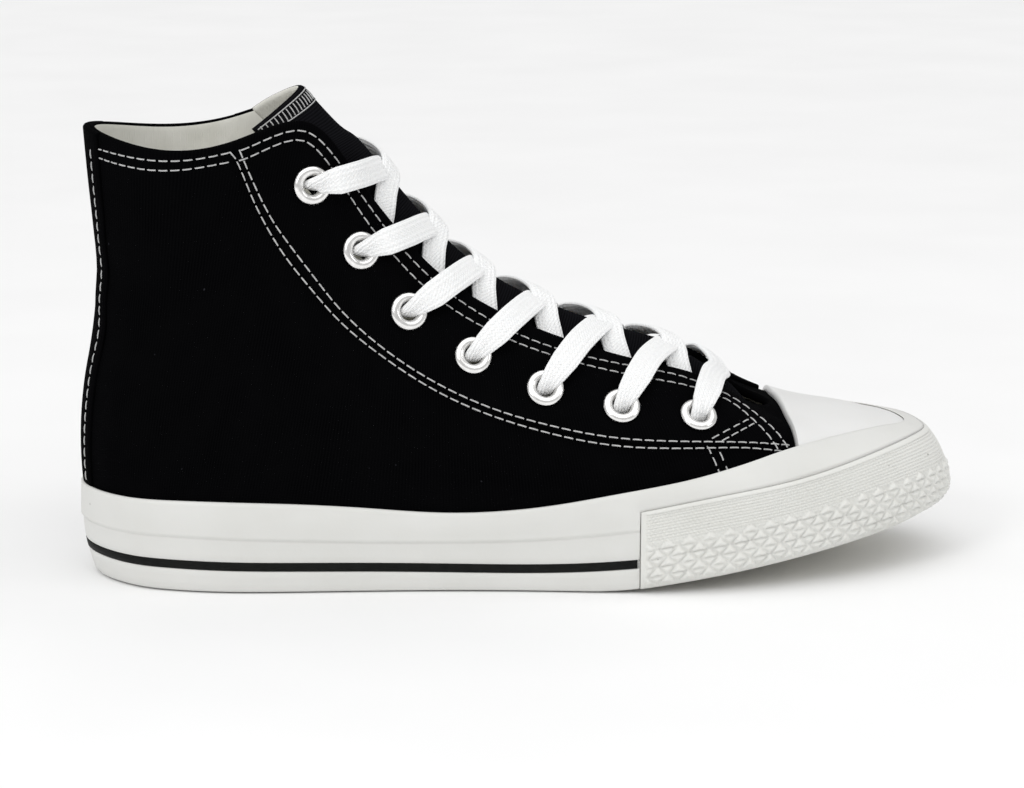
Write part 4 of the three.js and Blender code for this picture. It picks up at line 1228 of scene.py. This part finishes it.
def strap_keys(side, i, turned, last):
    """Keys of one strap from its eyelet to under the other flap: place, way up, width and height."""
    sign = 1 if side == "outer" else -1
    centre, out, up = eyelet_place(side, i)[:3]
    leave = BAR_LEAVE if last else LACES[i, 0]
    # The inner straps arch less, so that less of their shaded undersides shows
    lift = 1.0 if side == "outer" else 0.45
    edge, edge_up = on_flap(sign * leave, 1.0, 2.2 + 1.2 * lift)
    away = unit(edge - centre - out * ((edge - centre) @ out))
    keys = [
        (centre - out * 1.5, -turned * up, *IN_HOLE),
        (centre + out * (RIM_TOP - 0.1) + away * 1.2, turned * unit(out - 0.6 * up), *IN_HOLE),
        (centre + out * (RIM_TOP + 0.75) + away * 4.6, turned * out, *GATHERED),
        (lerp(centre + out * 4.3, edge, 0.5) + out * 1.6 * lift, turned * unit(out + edge_up), *FLAT),
        (edge, turned * edge_up, *FLAT),
    ]
    if last:
        return keys
    tuck = LACES[i, 1]
    middle = (leave + tuck) / 2
    # Where two straps cross, the inner one lies on top
    raised = 2.4 if side == "inner" else 0.9
    over = ((middle, 2, raised), ((middle + tuck) / 2, 2 + sign * 0.5, 1.5), (tuck, 2 + sign, 1.2))
    for place, v, height in over:
        point, normal = on_tongue(place, v, height)
        keys.append((point, turned * normal, *FLAT))
    other = "inner" if side == "outer" else "outer"
    centre, out, up, s, t = eyelet_place(other, i + 1)
    under, under_up = on_flap((s - sign * tuck) / 2, (t + 0.97) / 2, -WALL - 1.1)
    keys.append((under, turned * under_up, *GATHERED))
    keys.append((centre - out * (WALL + 1.2) + up * 1.6, turned * unit(up + out), *IN_HOLE))
    return keys


def lace_keys():
    """Keys of the whole lace. Its face turns over at each eyelet."""
    sides = ("outer", "inner")
    last = len(EYELETS) - 1
    keys = []
    turned = 1
    for i in range(last):
        keys += strap_keys(sides[i % 2], i, turned, False)
        turned = -turned
    keys += strap_keys(sides[last % 2], last, turned, True)
    point, normal = on_tongue(BAR_LEAVE - 0.2, 2, 2.0)
    keys.append((point, turned * normal, *FLAT))
    keys += strap_keys(sides[(last + 1) % 2], last, turned, True)[::-1]
    for i in reversed(range(last)):
        turned = -turned
        keys += strap_keys(sides[(i + 1) % 2], i, turned, False)[::-1]
    return keys


def path_through(points, step):
    """A smooth path through points: places about a step apart, and where each lies among the points."""
    gap = np.linalg.norm(np.diff(points, axis=0), axis=1)
    h = np.sqrt(gap)[:, None]
    slope = np.diff(points, axis=0) / h
    between = (slope[:-1] * h[1:] + slope[1:] * h[:-1]) / (h[1:] + h[:-1])
    tangent = np.concatenate([slope[:1], between, slope[-1:]])
    places, keys = [], []
    for i, length in enumerate(gap):
        f = np.linspace(0, 1, max(2, int(length / step)), endpoint=False)[:, None]
        places.append(
            (2 * f**3 - 3 * f**2 + 1) * points[i] + (f**3 - 2 * f**2 + f) * h[i] * tangent[i]
            + (3 * f**2 - 2 * f**3) * points[i + 1] + (f**3 - f**2) * h[i] * tangent[i + 1]
        )
        keys.append(i + f[:, 0])
    return np.concatenate(places), np.concatenate(keys)


def lace_grid():
    """Rings of points round the lace, ribbed lengthwise, and its UV pairs."""
    keys = lace_keys()
    path, place = path_through(np.array([key[0] for key in keys]), 0.8)
    count = np.arange(len(keys))
    up = np.stack([np.interp(place, count, [key[1][k] for key in keys]) for k in range(3)], -1)
    width = np.interp(place, count, [key[2] for key in keys])[:, None]
    height = np.interp(place, count, [key[3] for key in keys])[:, None]
    along = unit(np.gradient(path, axis=0))
    across = unit(np.cross(along, up))
    up = np.cross(across, along)
    angle = np.linspace(0, 2 * math.pi, 64, endpoint=False)
    side = np.sign(np.cos(angle)) * np.abs(np.cos(angle)) ** 0.85
    face = np.sign(np.sin(angle)) * np.abs(np.sin(angle)) ** 0.5
    rib = 1 + 0.2 * np.cos(2 * math.pi * LACE["ribs"] * side / 2) * (np.abs(side) < 0.9)
    grid = (
        path[:, None] + across[:, None] * (side[None] * width / 2)[..., None]
        + up[:, None] * (face[None] * rib[None] * height / 2)[..., None]
    )
    u = arc_lengths(path)
    v = LACE["width"] * np.append(side, side[0]) / 2
    return grid, np.stack(np.broadcast_arrays(u[:, None], v[None]), -1)


grid, uv = lace_grid()
lace = grid_piece("lace_braid", grid, [LACE_COTTON], wrap_columns=True, uv=uv)
hand_in(closed(lace), "lace", *[f"lace_crossing_{i + 1}" for i in range(len(LACES))], "lace_bar")


# Stitches: one Geometry Nodes tree lays a bowed thread at each point of a row
def stitch_tree():
    tree = bpy.data.node_groups.new("stitch_rows", "GeometryNodeTree")
    face = tree.interface
    face.new_socket("Geometry", in_out="INPUT", socket_type="NodeSocketGeometry")
    for name in ("Stitch length", "Thread diameter", "Bow"):
        face.new_socket(name, in_out="INPUT", socket_type="NodeSocketFloat")
    face.new_socket("Finish", in_out="INPUT", socket_type="NodeSocketMaterial")
    face.new_socket("Geometry", in_out="OUTPUT", socket_type="NodeSocketGeometry")
    given = add(tree, "NodeGroupInput").outputs
    sizes = {}
    for name, source, factor in (
        ("back", "Stitch length", -0.5), ("ahead", "Stitch length", 0.5), ("sunk", "Bow", -1.6),
        ("crown", "Bow", 2.2), ("radius", "Thread diameter", 0.5),
    ):
        size = add(tree, "ShaderNodeMath", {0: given[source], 1: factor}, operation="MULTIPLY")
        sizes[name] = size.outputs[0]
    start = add(tree, "ShaderNodeCombineXYZ", {"X": sizes["back"], "Z": sizes["sunk"]})
    middle = add(tree, "ShaderNodeCombineXYZ", {"Z": sizes["crown"]})
    end = add(tree, "ShaderNodeCombineXYZ", {"X": sizes["ahead"], "Z": sizes["sunk"]})
    bow = add(tree, "GeometryNodeCurveQuadraticBezier", {
        "Resolution": 4, "Start": start.outputs[0], "Middle": middle.outputs[0], "End": end.outputs[0],
    })
    round_thread = add(tree, "GeometryNodeCurvePrimitiveCircle", {"Resolution": 6, "Radius": sizes["radius"]})
    thread = add(tree, "GeometryNodeCurveToMesh", {
        "Curve": bow.outputs[0], "Profile Curve": round_thread.outputs["Curve"], "Fill Caps": True,
    })
    along = add(tree, "GeometryNodeInputNamedAttribute", {"Name": "along"}, data_type="FLOAT_VECTOR")
    out = add(tree, "GeometryNodeInputNamedAttribute", {"Name": "out"}, data_type="FLOAT_VECTOR")
    first = add(tree, "FunctionNodeAlignRotationToVector", {"Vector": along.outputs[0]}, axis="X")
    turned = add(tree, "FunctionNodeAlignRotationToVector", {
        "Rotation": first.outputs[0], "Vector": out.outputs[0],
    }, axis="Z", pivot_axis="X")
    points = add(tree, "GeometryNodeMeshToPoints", {"Mesh": given["Geometry"]})
    laid = add(tree, "GeometryNodeInstanceOnPoints", {
        "Points": points.outputs[0], "Instance": thread.outputs[0], "Rotation": turned.outputs[0],
    })
    real = add(tree, "GeometryNodeRealizeInstances", {"Geometry": laid.outputs[0]})
    finished = add(tree, "GeometryNodeSetMaterial", {
        "Geometry": real.outputs[0], "Material": given["Finish"],
    })
    add(tree, "NodeGroupOutput", {"Geometry": finished.outputs[0]})
    return tree


STITCH_TREE = stitch_tree()


def sew(name, rows, length=2.6, diameter=0.45):
    """A piece of thread from rows of stitches, each as places, ways along and ways out."""
    points, along, out = (np.concatenate(part) for part in zip(*rows))
    mesh = bpy.data.meshes.new(name)
    mesh.vertices.add(len(points))
    mesh.vertices.foreach_set("co", in_frame(points).astype(np.float32).ravel())
    for attribute, values in (("along", along), ("out", out)):
        data = mesh.attributes.new(attribute, "FLOAT_VECTOR", "POINT").data
        data.foreach_set("vector", values.astype(np.float32).ravel())
    piece = bpy.data.objects.new(name, mesh)
    scene.collection.objects.link(piece)
    rows_of = piece.modifiers.new("stitches", "NODES")
    rows_of.node_group = STITCH_TREE
    values = {
        "Stitch length": length * MM, "Thread diameter": diameter * MM, "Bow": 0.25 * diameter * MM,
        "Finish": THREAD,
    }
    for socket in STITCH_TREE.interface.items_tree:
        if socket.in_out == "INPUT" and socket.name in values:
            rows_of[socket.identifier] = values[socket.name]
    settle(piece)
    hand_in(piece, "lace")


STITCH_PITCH = 3.5
WHIP_PITCH = 1.8


def even_places(points, pitch):
    """Shares of the keys at even steps along a fine row of points."""
    run = arc_lengths(points)
    count = max(2, int(run[-1] / pitch))
    return np.interp((np.arange(count) + 0.5) * run[-1] / count, run, np.arange(len(points)))


def row_on_upper(keys, out, sign=1):
    """A row of stitches through stations and levels of the upper, a distance off its face."""
    keys = np.array(keys, float) * [sign, 1]
    control = control_points(keys, False)
    fine = spline_at(control, np.linspace(0, len(keys) - 1, 40 * len(keys)), False)
    fine[:, 1] = np.clip(fine[:, 1], 0.02, 0.999)
    place = even_places(cloth(fine[:, 0], fine[:, 1], out), STITCH_PITCH)
    s, t = (np.interp(place, np.arange(len(fine)), fine[:, k]) for k in (0, 1))
    s2, t2 = (np.interp(place + 0.4, np.arange(len(fine)), fine[:, k]) for k in (0, 1))
    points = cloth(s, t, out)
    return points, unit(cloth(s2, t2, out) - points + 1e-9), upper_normal(s, t)


# Rows of stitches as stations and levels: round the opening, and along the eyestay
EDGE_ROW = [
    (12.73, 0.965), (12.14, 0.978), (11.39, 0.986), (10.71, 0.983), (10.06, 0.985), (9.45, 0.977),
    (8.6, 0.973), (7.82, 0.962), (6.8, 0.957), (5.89, 0.938), (4.81, 0.936), (3.63, 0.94), (3.15, 0.9),
    (2.74, 0.83), (2.67, 0.67), (2.69, 0.53), (2.77, 0.33),
]
SECOND_ROW = [
    (12.72, 0.945), (12.14, 0.953), (11.38, 0.963), (10.68, 0.957), (10.06, 0.963), (9.56, 0.95),
    (8.76, 0.932), (7.96, 0.915), (6.94, 0.905), (5.99, 0.896), (4.93, 0.888), (3.86, 0.872), (3.38, 0.848),
    (2.97, 0.782), (2.88, 0.65), (2.87, 0.515), (2.9, 0.33),
]
LOWER_ROW = [
    (11.04, 0.99), (10.89, 0.949), (10.56, 0.831), (10.08, 0.716), (9.44, 0.651), (8.29, 0.604),
    (7.09, 0.569), (6.28, 0.545), (5.53, 0.524), (4.64, 0.492), (3.75, 0.459), (3.2, 0.43), (2.68, 0.37),
]
UPPER_ROW = [
    (10.92, 0.99), (10.68, 0.9), (10.3, 0.79), (9.82, 0.713), (9.1, 0.664), (8.01, 0.62), (7.09, 0.597),
    (6.27, 0.575), (5.51, 0.558), (4.61, 0.527), (3.72, 0.49), (3.1, 0.455), (2.67, 0.416),
]
SHORT_ROWS = [
    [(3.68, 0.499), (3.3, 0.56), (2.92, 0.625)], [(3.56, 0.483), (3.2, 0.54), (2.9, 0.592)],
    [(3.73, 0.485), (3.72, 0.39), (3.71, 0.294)], [(3.61, 0.45), (3.61, 0.37), (3.6, 0.296)],
]
ON_PANEL = PANEL_OUT + 0.1
ON_CANVAS = 0.12


def side_rows(sign):
    """All rows of one side. The two rows round the opening step up where they cross onto the eyestay."""
    rows = []
    for keys in (EDGE_ROW, SECOND_ROW):
        level = np.interp(EYESTAY_START, *np.array(keys)[::-1].T)
        panel = [(EYESTAY_START - 0.04, level)] + [key for key in keys if key[0] < EYESTAY_START - 0.15]
        plain = [key for key in keys if key[0] > EYESTAY_START + 0.15] + [(EYESTAY_START + 0.04, level)]
        rows.append(row_on_upper(panel, ON_PANEL, sign))
        rows.append(row_on_upper(plain, ON_CANVAS, sign))
    rows.append(row_on_upper(UPPER_ROW, ON_PANEL, sign))
    rows.append(row_on_upper(LOWER_ROW, ON_PANEL - 0.35, sign))
    rows += [row_on_upper(keys, ON_CANVAS, sign) for keys in SHORT_ROWS[2:]]
    rows += [row_on_upper(keys, ON_PANEL, sign) for keys in SHORT_ROWS[:2]]
    return rows


sew("stitches_outer_side", side_rows(1))
sew("stitches_inner_side", side_rows(-1))
low = float(level_at_height(np.array([HEEL]), level_at(np.array([HEEL]), TOP))[0]) + 0.01
column = [[(HEEL + side * 0.3, t) for t in np.linspace(low, 0.965, 5)] for side in (-1, 1)]
sew("stitches_heel_strip", [row_on_upper(keys, 1.05) for keys in column])
inside = np.linspace(0.3, RING - 0.3, 60)
keys = [(s, BAND_LEVELS[0]) for s in inside if min(s, RING - s) > 10.2]
points, along, out = row_on_upper(keys, -WALL - 0.15)
sew("stitches_collar_lining", [(points, along, -out)], diameter=0.4)


# Thread whipped over the tongue's free end: bars across the edge between two lines along it
def tongue_stitches(u, v, out, step):
    """Stitches over the tongue at places u and v, each running the way of a small step."""
    points = tongue_at(u, v, np.full(len(v), out))
    onward = tongue_at(u + step[0], v + step[1], np.full(len(v), out))
    return points, unit(onward - points), tongue_normal(u, v)


def whipped_edge():
    ends = (TONGUE_END - 0.03, TONGUE_END - 0.26)
    v = np.linspace(0.1, TONGUE_SIDE - 0.1, 400)
    rows = []
    for end in ends:
        line = tongue_at(np.full(len(v), end), v, np.full(len(v), 0.12))
        at = np.interp(even_places(line, WHIP_PITCH), np.arange(len(v)), v)
        rows.append(tongue_stitches(np.full(len(at), end), at, 0.12, (0, 0.01)))
    middle = np.full(len(at), sum(ends) / 2)
    return rows, [tongue_stitches(middle, at, 0.15, (0.01, 0.002))]


lines, bars = whipped_edge()
sew("tongue_edge_lines", lines, length=2.0, diameter=0.35)
sew("tongue_edge_bars", bars, length=3.2, diameter=0.38)


# Studio: a floor of matt white paper, a soft sun, two small panels of light and a white surround
def paper_white():
    finish, tree, shader = new_finish("white_paper_floor", {"Roughness": 0.9, "Specular IOR Level": 0.1})
    shade = spotted(tree, millimetres(tree), 0.01, 2, 0.3, 0.7, "#F6F6F6", "#F9F9F9")
    tree.links.new(shade, shader.inputs["Base Color"])
    return finish


def lay_floor():
    mesh = bpy.data.meshes.new("studio_floor")
    half = 6
    corners = [(half * x, half * y, 0) for x, y in ((-1, -1), (1, -1), (1, 1), (-1, 1))]
    mesh.from_pydata(corners, [], [(0, 1, 2, 3)])
    mesh.materials.append(paper_white())
    floor = bpy.data.objects.new("studio_floor", mesh)
    scene.collection.objects.link(floor)


LIT_PLACE = (0.09, 0, 0.05)


def add_light(name, place, kind, size, power):
    """A light turned to the shoe. Its size is an angle for a sun, and a width for a panel."""
    light = bpy.data.objects.new(name, bpy.data.lights.new(name, kind))
    if kind == "SUN":
        light.data.angle = size
    else:
        light.data.size = size
    light.data.energy = power
    light.location = place
    light.rotation_euler = (Vector(place) - Vector(LIT_PLACE)).to_track_quat("Z", "Y").to_euler()
    scene.collection.objects.link(light)


def light_studio():
    world = bpy.data.worlds.new("white_surround")
    world.use_nodes = True
    surround = world.node_tree.nodes["Background"].inputs
    surround["Color"].default_value = (1, 1, 1, 1)
    surround["Strength"].default_value = 0.6
    scene.world = world
    add_light("light_overhead", (0.1, -0.35, 1.3), "SUN", 1.4, 1.15)
    add_light("light_front_left", (-0.6, -0.9, 0.75), "AREA", 0.4, 3.2)
    add_light("light_toe_side", (1.1, -0.5, 0.6), "AREA", 0.3, 0.8)
    scene.view_settings.view_transform = "Standard"


lay_floor()
light_studio()
